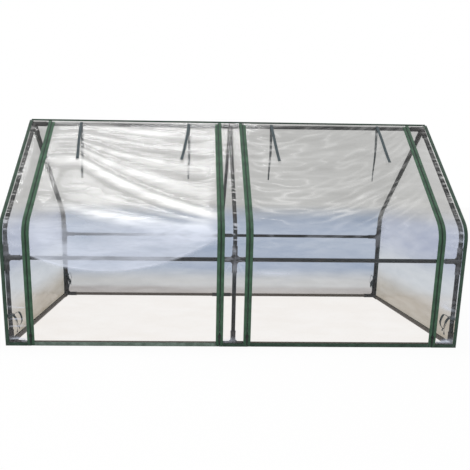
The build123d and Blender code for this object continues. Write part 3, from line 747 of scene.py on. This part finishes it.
def with_folds(mesh, folds):
    """Keeps how white each point is, for the film's material: partly whitened creases, partly painted
    highlight and painted reflection.
    """
    layer = mesh.attributes.new("fold_white_and_highlight", "FLOAT", "POINT")
    layer.data.foreach_set("value", np.clip(np.ravel(folds), 0.0, 0.92).astype(np.float32))
    return mesh


def film_sheet(name, x_range, along_range, settings, material, folds, face=-1, pitch=None, gathered=(),
               clings=True):
    """Sheet over the outline, folded and sagging between its supports.

    gathered lists places along X of bound seams, where the film is puckered, with painted highlight on
    the puckers. Film that clings is less white below the eave where a tube lies behind it, so less
    painted highlight shows there.
    """
    pitch = pitch or settings.pitch
    xs = steps(*x_range, pitch)
    places = steps(*along_range, pitch)
    furthest_out, furthest_in, on_tube = 0.0085, -0.016, -0.0018
    side_fade, end_fade = 0.07, 0.05
    bend_end = WALL_LENGTH + BEND_LENGTH
    rows, whites = [], []
    for along in places:
        row, white_row = [], []
        on_roof = smooth_step(WALL_LENGTH + BEND_LENGTH * 0.6, bend_end + 0.15, along)
        up_roof = (along - WALL_LENGTH) / (BEND_LENGTH + ROOF_LENGTH)
        hang = settings.sag * math.sin(math.pi * min(max(up_roof, 0.0), 1.0)) * on_roof
        for x in xs:
            side = min(x - x_range[0], x_range[1] - x) / side_fade
            ends = min((along - along_range[0]) / end_fade, (along_range[1] - along) / end_fade)
            edge = smooth_step(0.0, 1.0, min(side, ends))
            held = near_support(x, along)
            height, white = folds(x, along)
            white *= 0.5 + 0.5 * edge
            out = edge * (settings.fold_height * height - hang * (1.0 - held))
            for seam in gathered:
                close = beside_seam(x - seam)
                gather = ridged(x * 6.0, along * 42.0, seam * 3.0)
                out += settings.pucker * close * gather
                # Painted highlight on the puckers
                white += 0.22 * close * gather
            if clings and along < WALL_LENGTH:
                white *= 1.0 - 0.5 * held
            out = max(min(out, furthest_out), on_tube if held > 0.4 else furthest_in)
            row.append(on_profile(x, along, FILM_OUT - FILM_HALF + out, face))
            white_row.append(white)
        rows.append(row)
        whites.append(white_row)
    uvs = [[(x, along) for x in xs] for along in places]
    mesh = with_folds(grid_mesh(name, rows, uvs, flip=face < 0), whites)
    return new_object(name, mesh, material)


def front_tints(settings):
    """The front's film has no paler band, so its wall's tint stands there twice."""
    return settings.front_foot, settings.front_wall, settings.front_wall, settings.roof


class GREENHOUSE_OT_doors(bpy.types.Operator):
    """Makes the two doors' film, from the ridge to the ground"""

    bl_idname = "greenhouse.doors"
    bl_label = "Doors"

    def execute(self, context):
        settings = context.scene.greenhouse_film
        tints = front_tints(settings)
        creased = clear_pvc_film(settings, "clear_pvc_film_creased", tints, FRONT_ZONES, 0.20, 0.46, 0.35)
        smoother = clear_pvc_film(settings, "clear_pvc_film_smooth", tints, FRONT_ZONES, 0.20, 0.45, 0.30)
        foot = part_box("left_door_lower_film")[0].z - FILM_FOOT
        for side, material, folds in (
            ("left", creased, slack_door_folds),
            ("right", smoother, smoother_door_folds),
        ):
            low, high = DOOR_FILM[side]
            film = film_sheet(f"{side}_door_film", (low.x, high.x), (foot, SHEET_TOP), settings,
                              material, folds, pitch=settings.pitch * 0.75, clings=side == "right")
            across_eave(film)
            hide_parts(f"{side}_door_upper_film", f"{side}_door_lower_film")
        return {"FINISHED"}


def across_eave(piece):
    """Bakes a door's piece's placing into its mesh; the piece is already made round the eave."""
    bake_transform(piece)


class GREENHOUSE_OT_panels(bpy.types.Operator):
    """Makes the fixed film: rear wall and roof, both ends, and the strips beside the doors"""

    bl_idname = "greenhouse.panels"
    bl_label = "Fixed film"

    def execute(self, context):
        settings = context.scene.greenhouse_film
        tints = (settings.rear_foot, settings.rear_pale, settings.rear_wall, settings.roof)
        rear_film = clear_pvc_film(settings, "clear_pvc_film_rear", tints, REAR_ZONES, 0.88, 0.80, 0.22, 0.06)
        strip_film = clear_pvc_film(settings, "clear_pvc_film_strips", front_tints(settings), FRONT_ZONES,
                                    0.20, 0.40, 0.35)
        rear = film_sheet("rear_film", (-FILM_END_X, FILM_END_X), (0.0, PROFILE_LENGTH), settings,
                          rear_film, rear_folds, face=1, pitch=settings.pitch * 1.3,
                          gathered=(-FILM_END_X, FILM_END_X))
        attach(rear, "root")
        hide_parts("rear_panel")
        for place in ("left", "centre", "right"):
            low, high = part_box(f"front_{place}_strip")
            seams = [x for x in (low.x, high.x) if abs(x) > FILM_END_X - 0.002]
            strip = film_sheet(f"front_{place}_film", (low.x, high.x), (0.0, PROFILE_LENGTH), settings,
                               strip_film, strip_folds, pitch=settings.pitch * 0.6, gathered=seams)
            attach(strip, "root")
            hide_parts(f"front_{place}_strip")
        self.ends(settings)
        return {"FINISHED"}

    def ends(self, settings):
        tints = (settings.end_foot, settings.end_pale, settings.end_wall, settings.roof)
        end_film = clear_pvc_film(settings, "clear_pvc_film_ends", tints, END_ZONES, 0.88, 0.70, 0.25, 0.06)
        for side, sign in SIDES.items():
            end = self.end(f"{side}_end_film", sign, settings, end_film)
            node = f"{side}_end_panel"
            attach(end, "root")
            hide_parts(node)

    @staticmethod
    def end(name, sign, settings, material):
        """Flat five-sided end in rows from the foot to the ridge, puckered along its bound edge."""
        edge_out, least_half = FILM_OUT - 0.0009, 0.0005
        count = len(steps(-POST_Y, POST_Y, settings.pitch))
        rows, uvs, whites = [], [], []
        for along in steps(0.0, PROFILE_LENGTH, settings.pitch):
            edge_y, z = profile(along, edge_out)
            edge_y = min(edge_y, -least_half)
            row, uv, white_row = [], [], []
            for i in range(count):
                y = edge_y * (1 - 2 * i / (count - 1))
                inset = abs(edge_y) - abs(y)
                height, white = tight_folds(y * 1.1 + sign, z)
                close = beside_seam(inset)
                gather = ridged(y * 6.0, along * 42.0, sign * 5.0)
                radial = bell(inset, 0.11) * bell(z - PURLIN_Z - 0.05, 0.12) * ridged(along * 20.0, 0.0, sign)
                out = settings.fold_height * 0.7 * height * smooth_step(0.0, 0.08, inset)
                out += settings.pucker * close * gather
                row.append((sign * (FILM_END_X - FILM_HALF + out), y, z))
                uv.append((y + 2 * sign, z))
                # Painted highlight on the puckers beside the seam and on the radial creases above the purlin
                white_row.append(white + 0.35 * close * gather + 0.45 * radial)
            rows.append(row)
            uvs.append(uv)
            whites.append(white_row)
        mesh = with_folds(grid_mesh(name, rows, uvs, flip=sign > 0), whites)
        return new_object(name, mesh, material)


# Bindings

HEM_GAP = 0.0004  # between a hem and the zip tape beside it


def along_outline(name, across, section, along_from, along_to, face=-1, pitch=0.012):
    """Bar of a section that follows the outline. The section's pairs are (x, distance from the axes)."""
    return loft_mesh(name, [
        [on_profile(across + dx, along, distance, face) for dx, distance in section]
        for along in steps(along_from, along_to, pitch)
    ])


class GREENHOUSE_OT_bindings(bpy.types.Operator):
    """Makes the bound seams along the ends and the ridge, and the hem round the foot"""

    bl_idname = "greenhouse.bindings"
    bl_label = "Bindings"

    def execute(self, context):
        settings = context.scene.greenhouse_binding
        tape = woven_tape("woven_polyester_binding", settings.binding_dark, settings.binding_light, 0.9 * MM)
        seam_middle = FILM_OUT - FILM_HALF
        width = BINDING_END_X - FILM_END_X
        for side, sign in SIDES.items():
            parts = []
            for face in FACES.values():
                half = settings.fin_thickness / 2
                section = [(sign * u, seam_middle + v) for u, v in (
                    (-settings.binding_overlap, 0.0005), (-settings.binding_overlap, 0.0015),
                    (-0.001, 0.0017), (0.001, half), (width - 0.001, half), (width, half - 0.001),
                    (width, 0.001 - half), (width - 0.001, -half), (0.0006, -half), (0.0006, 0.0005))]
                parts.append(along_outline(f"{side}_{face}", sign * FILM_END_X, section,
                                           0.0, PROFILE_LENGTH - 0.0005, face))
            seam = new_object(f"{side}_end_seam", merged(f"{side}_end_seam", parts), tape)
            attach(seam, "root")
            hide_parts(f"{side}_end_binding")
        self.ridge(settings, tape)
        self.hem(settings, tape)
        return {"FINISHED"}

    def ridge(self, settings, tape):
        """Bound fin that stands along the ridge, wavering a little between its stitches."""
        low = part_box("ridge_binding")[0].z
        section = rounded_section(settings.ridge_thickness, RIDGE_TOP - low, settings.ridge_thickness * 0.4)
        rings = []
        for x in steps(-FILM_END_X, FILM_END_X, 0.012):
            lean = 0.0009 * noise.noise(Vector((x * 9, 0, 5)))
            rings.append([(x, u + lean * (v > 0), (low + RIDGE_TOP) / 2 + v) for u, v in section])
        seam = new_object("ridge_seam", loft_mesh("ridge_seam", rings), tape)
        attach(seam, "root")
        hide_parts("ridge_binding")

    def hem(self, settings, tape):
        """Folded hem round the foot of the fixed film."""
        low_z, high_z = FILM_FOOT, FILM_FOOT + HEM_HEIGHT
        face_y = POST_Y + FILM_OUT
        tape_edge = bpy.context.scene.greenhouse_zips.tape_width + HEM_GAP
        outer, inner = abs(ZIP_X["right_outer"]) + tape_edge, abs(ZIP_X["right_inner"]) - tape_edge
        runs = [((-FILM_END_X, face_y), (FILM_END_X, face_y), (0, 1))]
        for x_from, x_to in ((-FILM_END_X, -outer), (-inner, inner), (outer, FILM_END_X)):
            runs.append(((x_from, -face_y), (x_to, -face_y), (0, -1)))
        reach = face_y - 0.004
        for sign in SIDES.values():
            runs.append(((sign * FILM_END_X, -reach), (sign * FILM_END_X, reach), (sign, 0)))
        meshes = [hem_mesh(*run, low_z, high_z, settings.hem_thickness) for run in runs]
        hem = new_object("foot_hem", merged("foot_hem", meshes), tape)
        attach(hem, "root")
        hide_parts("bottom_hem")


def hem_mesh(start, end, out, low_z, high_z, thickness):
    """Straight run of folded hem: a flat loop of tape, puckered at its stitches."""
    start, end, out = Vector(start), Vector(end), Vector(out)
    length = (end - start).length
    section = rounded_section(thickness, high_z - low_z, thickness * 0.45)
    clear = 0.0001
    rings = []
    for place in steps(0.0, length, 0.012):
        foot = start.lerp(end, place / length)
        pucker = 0.0004 * noise.noise(Vector((place * 22, start.x * 3, start.y * 3)))
        ring = []
        for u, v in section:
            distance = thickness / 2 + u + clear + (pucker if u > 0 else 0)
            at = foot + out * distance
            ring.append((at.x, at.y, (low_z + high_z) / 2 + v))
        rings.append(ring)
    return loft_mesh("hem", rings)


# Zips

COIL_TURN = (0.62, 0.9, 1.0, 0.9)  # how far a turn of the coil stands out, in four steps
TAPE_CLEAR = 0.0003  # between the film and a zip's tape
MOVING_FOOT = 0.0006  # how much higher a door's tape starts than the fixed one


def zip_half_meshes(name, zip_x, toward, along_from, along_to, settings):
    """Woven tape and the row of coil along its inner edge, for one half of a zip."""
    middle_x = toward * (settings.gap + settings.tape_width / 2)
    thick = settings.tape_thickness
    lift = FILM_OUT + TAPE_CLEAR + thick / 2
    section = [(middle_x + u, lift + v)
               for u, v in rounded_section(settings.tape_width, thick, thick * 0.45, 2)]
    tape = along_outline(name, zip_x, section, along_from, along_to, pitch=0.010)
    coil_x = toward * (settings.gap + settings.coil_width / 2)
    low, high = lift + thick / 2, lift + thick / 2 + settings.coil_height
    sunk = low - 0.0002
    rings = []
    for i, along in enumerate(steps(along_from, along_to, settings.tooth_pitch / len(COIL_TURN))):
        swell = COIL_TURN[i % len(COIL_TURN)]
        half = settings.coil_width / 2 * (0.72 + 0.28 * swell)
        top = low + (high - low) * swell
        rings.append([
            on_profile(zip_x + coil_x - half, along, sunk),
            on_profile(zip_x + coil_x + half, along, sunk),
            on_profile(zip_x + coil_x + half * 0.8, along, (low + top) / 2),
            on_profile(zip_x + coil_x, along, top),
            on_profile(zip_x + coil_x - half * 0.8, along, (low + top) / 2),
        ])
    return tape, loft_mesh(name + "_coil", rings)


class GREENHOUSE_OT_zips(bpy.types.Operator):
    """Makes the four zips' tapes and coils, the doors' hems, and finishes the sliders and pulls"""

    bl_idname = "greenhouse.zips"
    bl_label = "Zips"

    def execute(self, context):
        settings = context.scene.greenhouse_zips
        bindings = context.scene.greenhouse_binding
        tape = woven_tape("woven_zip_tape", settings.tape_dark, settings.tape_light, 0.8 * MM)
        kinds = (("tape", tape), ("coil", nylon_coil(settings)))
        door_hem = {
            # The left door's hem takes the paler colours: a painted sheen
            "left": woven_tape("woven_door_hem_painted_sheen", bindings.hem_sheen_dark, bindings.hem_sheen_light, 0.9 * MM),
            "right": woven_tape("woven_door_hem", bindings.binding_dark, bindings.binding_light, 0.9 * MM),
        }
        for zip_name, zip_x in ZIP_X.items():
            side = zip_name.split("_")[0]
            outward = 1 if zip_name.endswith("outer") else -1
            toward = outward * SIDES[side]
            fixed = zip_half_meshes(zip_name, zip_x, toward, 0.0, SHEET_TOP, settings)
            moving = zip_half_meshes(zip_name, zip_x, -toward, MOVING_FOOT, TAPE_TOP, settings)
            for mesh, (kind, material) in zip(fixed, kinds):
                piece = new_object(f"{zip_name}_fixed_{kind}", mesh, material)
                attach(piece, "root")
                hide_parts("fixed_zip_tapes")
            for mesh, (kind, material) in zip(moving, kinds):
                piece = new_object(f"{zip_name}_door_{kind}", mesh, material)
                across_eave(piece)
                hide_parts(f"{side}_door_upper_tapes", f"{side}_door_lower_bindings")
        for side in SIDES:
            edges = sorted(ZIP_X[f"{side}_{place}"] for place in ("inner", "outer"))
            inset = settings.tape_width + HEM_GAP
            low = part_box(f"{side}_door_lower_bindings")[0].z
            face_y = -(POST_Y + FILM_OUT)
            mesh = hem_mesh((edges[0] + inset, face_y), (edges[1] - inset, face_y), (0, -1),
                            low, low + HEM_HEIGHT + bindings.hem_over, bindings.hem_thickness)
            hem = new_object(f"{side}_door_hem", mesh, door_hem[side])
            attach(hem, f"{side}_door_lower")
            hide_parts(f"{side}_door_lower_bindings")
        finish_nodes(("_zip_slider", "_zip_pull"), enamelled_zinc(settings))
        return {"FINISHED"}


# Ribbons


def ribbon_mesh(name, points, sides, width, thickness):
    """Flat ribbon through points; sides are unit vectors across it, one for each point."""
    section = rounded_section(width, thickness, thickness * 0.45, 2)
    rings = []
    for i, point in enumerate(points):
        before, after = points[max(i - 1, 0)], points[min(i + 1, len(points) - 1)]
        run = (after - before).normalized()
        across = sides[i] - run * sides[i].dot(run)
        across.normalize()
        up = run.cross(across)
        rings.append([point + across * u + up * v for u, v in section])
    return loft_mesh(name, rings)


def curve_points(controls, count):
    """Smooth line through a few points (Catmull-Rom), evenly divided by its parameter."""
    ends = [2 * controls[0] - controls[1], *controls, 2 * controls[-1] - controls[-2]]
    points = []
    spans = len(controls) - 1
    for i in range(count):
        t = i / (count - 1) * spans
        k = min(int(t), spans - 1)
        f = t - k
        a, b, c, d = ends[k : k + 4]
        points.append(
            0.5 * ((2 * b) + (c - a) * f + (2 * a - 5 * b + 4 * c - d) * f**2
                   + (3 * b - a - 3 * c + d) * f**3)
        )
    return points


class GREENHOUSE_OT_straps(bpy.types.Operator):
    """Makes the tie ribbons at the ridge, four outside on the doors and four hanging inside"""

    bl_idname = "greenhouse.straps"
    bl_label = "Tie ribbons"

    def execute(self, context):
        settings = context.scene.greenhouse_ribbons
        webbing = woven_tape("woven_tie_ribbon", settings.ribbon_dark, settings.ribbon_light, 0.7 * MM)
        leans = {"left_outer": 0.015, "left_inner": -0.028, "right_inner": 0.015, "right_outer": 0.006}
        for place, lean in leans.items():
            for kind in ("outside", "inside"):
                node = f"{place}_{kind}_strap"
                make = self.outside if kind == "outside" else self.inside
                ribbon = new_object(f"{place}_{kind}_ribbon", make(node, lean, settings), webbing)
                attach(ribbon, node)
                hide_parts(node)
        return {"FINISHED"}

    @staticmethod
    def outside(node, lean, settings):
        """Lies down the roof, its tip swung a little to one side."""
        low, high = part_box(node)
        x = (low.x + high.x) / 2
        length = math.hypot(high.y - low.y, high.z - low.z)
        points, sides = [], []
        for i in range(settings.steps):
            t = i / (settings.steps - 1)
            swing = lean * t**1.4
            drop = math.sqrt(max(length**2 - lean**2, 0.0)) * t
            lift = FILM_OUT + 0.0014 + 0.0025 * math.sin(math.pi * t) + 0.002 * t * math.sin(7 * t)
            points.append(on_profile(x + swing, STRAP_TOP - drop, lift))
            twist = 0.12 * math.sin(3.1 * t)
            sides.append(Vector((math.cos(twist), 0.0, math.sin(twist))))
        return ribbon_mesh(node, points, sides, settings.width, settings.thickness)

    @staticmethod
    def inside(node, lean, settings):
        """Hangs from the ridge seam, inside the film, a little twisted."""
        low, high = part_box(node)
        x, y = (low.x + high.x) / 2, (low.y + high.y) / 2
        points, sides = [], []
        for i in range(settings.steps):
            t = i / (settings.steps - 1)
            swing = 0.004 * math.sin(5 * t) * t - lean * 0.10 * t
            points.append(Vector((x + swing, y - 0.0035 * t, high.z - (high.z - low.z) * t)))
            twist = 0.9 * t * (1 if lean > 0 else -1)
            sides.append(Vector((math.cos(twist), math.sin(twist), 0.0)))
        return ribbon_mesh(node, points, sides, settings.width, settings.thickness)


class GREENHOUSE_OT_foot_ties(bpy.types.Operator):
    """Makes the ribbons knotted round the posts' feet"""

    bl_idname = "greenhouse.foot_ties"
    bl_label = "Foot ribbons"

    def execute(self, context):
        settings = context.scene.greenhouse_ribbons
        webbing = woven_tape("woven_foot_ribbon", settings.ribbon_dark, settings.ribbon_light, 0.7 * MM)
        low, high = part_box("foot_ties")
        for side, sign in SIDES.items():
            for face_name, face in FACES.items():
                name = f"{face_name}_{side}_foot_ribbon"
                post = Vector((sign * END_X, face * POST_Y, 0))
                parts = self.tie(post, sign, face, low.z, high.z, settings)
                tie = new_object(name, merged(name, parts), webbing)
                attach(tie, "root")
                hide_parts("foot_ties")
        return {"FINISHED"}

    @staticmethod
    def tie(post, sign, face, low_z, high_z, settings):
        """Two turns round the post, a knot on its inner side, one loop and two hanging tails."""
        up = Vector((0, 0, 1))
        inward = Vector((-sign, -face, 0)).normalized()
        across = up.cross(inward)
        width = settings.width * 0.8
        top = high_z - width / 2
        radius = TUBE_RADIUS + 0.0012
        parts = []
        for turn in range(2):
            points, sides = [], []
            for i in range(25):
                angle = 2 * math.pi * i / 24
                around = inward * math.cos(angle) + across * math.sin(angle)
                tilt = 0.0016 * math.sin(angle + turn * 2.2)
                points.append(post + around * (radius + 0.0008 * turn) + up * (top - 0.002 * turn + tilt))
                sides.append(up)
            parts.append(ribbon_mesh("turn", points, sides, width, settings.thickness))
        knot = post + inward * (radius + 0.004) + up * top
        fall = top - low_z
        reach = 0.030 if face < 0 else 0.022
        along_x, along_y = Vector((-sign, 0, 0)), Vector((0, -face, 0))
        lines = [
            [knot, knot + along_x * reach * 0.7 + along_y * 0.004 + up * 0.010,
             knot + along_x * reach + along_y * 0.008 - up * fall * 0.30,
             knot + along_x * reach * 0.5 + along_y * 0.006 - up * fall * 0.62,
             knot + along_x * 0.003 + along_y * 0.004 - up * fall * 0.20, knot - up * 0.003],
            [knot, knot + along_x * 0.010 + along_y * 0.008 - up * fall * 0.35,
             knot + along_x * 0.006 + along_y * 0.014 - up * (fall - 0.004)],
            [knot, knot + along_x * 0.012 + along_y * 0.003 - up * fall * 0.30,
             knot + along_x * 0.018 + along_y * 0.010 - up * (fall - 0.022)],
        ]
        count = 34
        sides = [(along_y + 0.5 * along_x * math.sin(i * 0.2)).normalized() for i in range(count)]
        for line in lines:
            parts.append(ribbon_mesh("tail", curve_points(line, count), sides, width, settings.thickness))
        wraps = [knot + inward * 0.004 * math.cos(angle) + up * 0.0045 * math.sin(angle)
                 for angle in (2 * math.pi * i / 12 for i in range(13))]
        parts.append(ribbon_mesh("knot", wraps, [across] * len(wraps), width, settings.thickness))
        return parts


# Stage


class GREENHOUSE_OT_stage(bpy.types.Operator):
    """Makes the floor, the lamps, the sky and the camera"""

    bl_idname = "greenhouse.stage"
    bl_label = "Stage"

    def execute(self, context):
        scene, settings = context.scene, context.scene.greenhouse_stage
        scene.view_settings.view_transform = "Standard"
        self.floor(settings)
        self.sky(scene, settings)
        self.lamp("key_lamp", (-1.6, -3.2, 3.0), (0.0, 0.0, 0.4), (2.2, 2.2), settings.key)
        self.lamp("top_lamp", (-0.45, 0.05, 3.0), (-0.40, -0.15, 0.7), (1.7, 0.32), settings.top)
        self.camera(scene)
        return {"FINISHED"}

    @staticmethod
    def floor(settings):
        """Pale floor: shown as it is to the eye, with part of its shade kept from the lamps."""
        mesh = bpy.data.meshes.new("floor")
        half = 12.0
        corners = [(-half, -half, 0), (half, -half, 0), (half, half, 0), (-half, half, 0)]
        mesh.from_pydata(corners, [], [(0, 1, 2, 3)])
        material, tree = new_material("pale_painted_floor")
        paths = add_node(tree, "ShaderNodeLightPath").outputs
        seen = paths["Is Camera Ray"]
        for ray in ("Is Glossy Ray", "Is Transmission Ray"):
            seen = add_node(tree, "ShaderNodeMath", {0: seen, 1: paths[ray]}, operation="MAXIMUM").outputs[0]
        share = add_node(tree, "ShaderNodeMath", {0: seen, 1: 0.94}, operation="MULTIPLY")
        lit = add_node(tree, "ShaderNodeBsdfDiffuse", {"Color": linear(settings.floor)})
        shown = add_node(tree, "ShaderNodeEmission", {"Color": linear("#ffffff"), "Strength": 1.0})
        mix = add_node(tree, "ShaderNodeMixShader", {0: share.outputs[0], 1: lit.outputs[0],
                                                     2: shown.outputs[0]})
        add_node(tree, "ShaderNodeOutputMaterial", {"Surface": mix.outputs[0]})
        new_object("floor", mesh, material, smooth=False)

    @staticmethod
    def sky(scene, settings):
        """White to the eye and in reflections; plain soft light otherwise."""
        world = bpy.data.worlds.new("studio")
        scene.world = world
        world.use_nodes = True
        tree = world.node_tree
        tree.nodes.clear()
        paths = add_node(tree, "ShaderNodeLightPath").outputs
        seen = paths["Is Camera Ray"]
        for ray in ("Is Glossy Ray", "Is Transmission Ray"):
            seen = add_node(tree, "ShaderNodeMath", {0: seen, 1: paths[ray]}, operation="MAXIMUM").outputs[0]
        strength = add_node(tree, "ShaderNodeMapRange",
                            {"Value": seen, "To Min": settings.sky, "To Max": 1.0})
        back = add_node(tree, "ShaderNodeBackground",
                        {"Color": linear("#ffffff"), "Strength": strength.outputs[0]})
        add_node(tree, "ShaderNodeOutputWorld", {"Surface": back.outputs[0]})

    @staticmethod
    def lamp(name, place, target, size, power):
        data = bpy.data.lights.new(name, "AREA")
        data.shape = "RECTANGLE"
        data.size, data.size_y = size
        data.energy = power
        lamp = bpy.data.objects.new(name, data)
        bpy.context.scene.collection.objects.link(lamp)
        lamp.location = place
        lamp.rotation_euler = (Vector(target) - Vector(place)).to_track_quat("-Z", "Y").to_euler()

    @staticmethod
    def camera(scene):
        """Stands a little left of the middle, 2.4 m in front, and looks slightly down."""
        data = bpy.data.cameras.new("camera")
        data.sensor_width = 36.0
        data.lens = 38.2
        data.shift_x, data.shift_y = 0.064, 0.096
        camera = bpy.data.objects.new("camera", data)
        scene.collection.objects.link(camera)
        turn = (
            Matrix.Rotation(math.radians(-1.28), 4, "Z")
            @ Matrix.Rotation(math.radians(-11.2), 4, "X")
            @ Matrix.Rotation(math.radians(-0.70), 4, "Y")
            @ Matrix.Rotation(math.radians(90), 4, "X")
        )
        camera.matrix_world = Matrix.Translation((-0.158, -2.3565, 0.6477)) @ turn
        scene.camera = camera


OPERATORS = (
    GREENHOUSE_OT_stage,
    GREENHOUSE_OT_tubes,
    GREENHOUSE_OT_joints,
    GREENHOUSE_OT_doors,
    GREENHOUSE_OT_panels,
    GREENHOUSE_OT_bindings,
    GREENHOUSE_OT_zips,
    GREENHOUSE_OT_straps,
    GREENHOUSE_OT_foot_ties,
)

SETTINGS = {
    "greenhouse_frame": FrameSettings,
    "greenhouse_film": FilmSettings,
    "greenhouse_binding": BindingSettings,
    "greenhouse_zips": ZipSettings,
    "greenhouse_ribbons": RibbonSettings,
    "greenhouse_stage": StageSettings,
}


class GREENHOUSE_PT_panel(bpy.types.Panel):
    """Lists the steps that build the greenhouse"""

    bl_label = "Mini greenhouse"
    bl_idname = "GREENHOUSE_PT_panel"
    bl_space_type = "VIEW_3D"
    bl_region_type = "UI"
    bl_category = "Greenhouse"

    def draw(self, context):
        for operator in OPERATORS:
            self.layout.operator(operator.bl_idname)
        for name, group in SETTINGS.items():
            box = self.layout.box()
            for setting in group.__annotations__:
                box.prop(getattr(context.scene, name), setting)


def register():
    for group in SETTINGS.values():
        bpy.utils.register_class(group)
    for name, group in SETTINGS.items():
        setattr(bpy.types.Scene, name, PointerProperty(type=group))
    for operator in OPERATORS:
        bpy.utils.register_class(operator)
    bpy.utils.register_class(GREENHOUSE_PT_panel)


def unregister():
    bpy.utils.unregister_class(GREENHOUSE_PT_panel)
    for operator in reversed(OPERATORS):
        bpy.utils.unregister_class(operator)
    for name in SETTINGS:
        delattr(bpy.types.Scene, name)
    for group in SETTINGS.values():
        bpy.utils.unregister_class(group)


def main():
    register()
    for operator in OPERATORS:
        family, step = operator.bl_idname.split(".")
        getattr(getattr(bpy.ops, family), step)()
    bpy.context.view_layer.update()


if __name__ == "__main__":
    main()
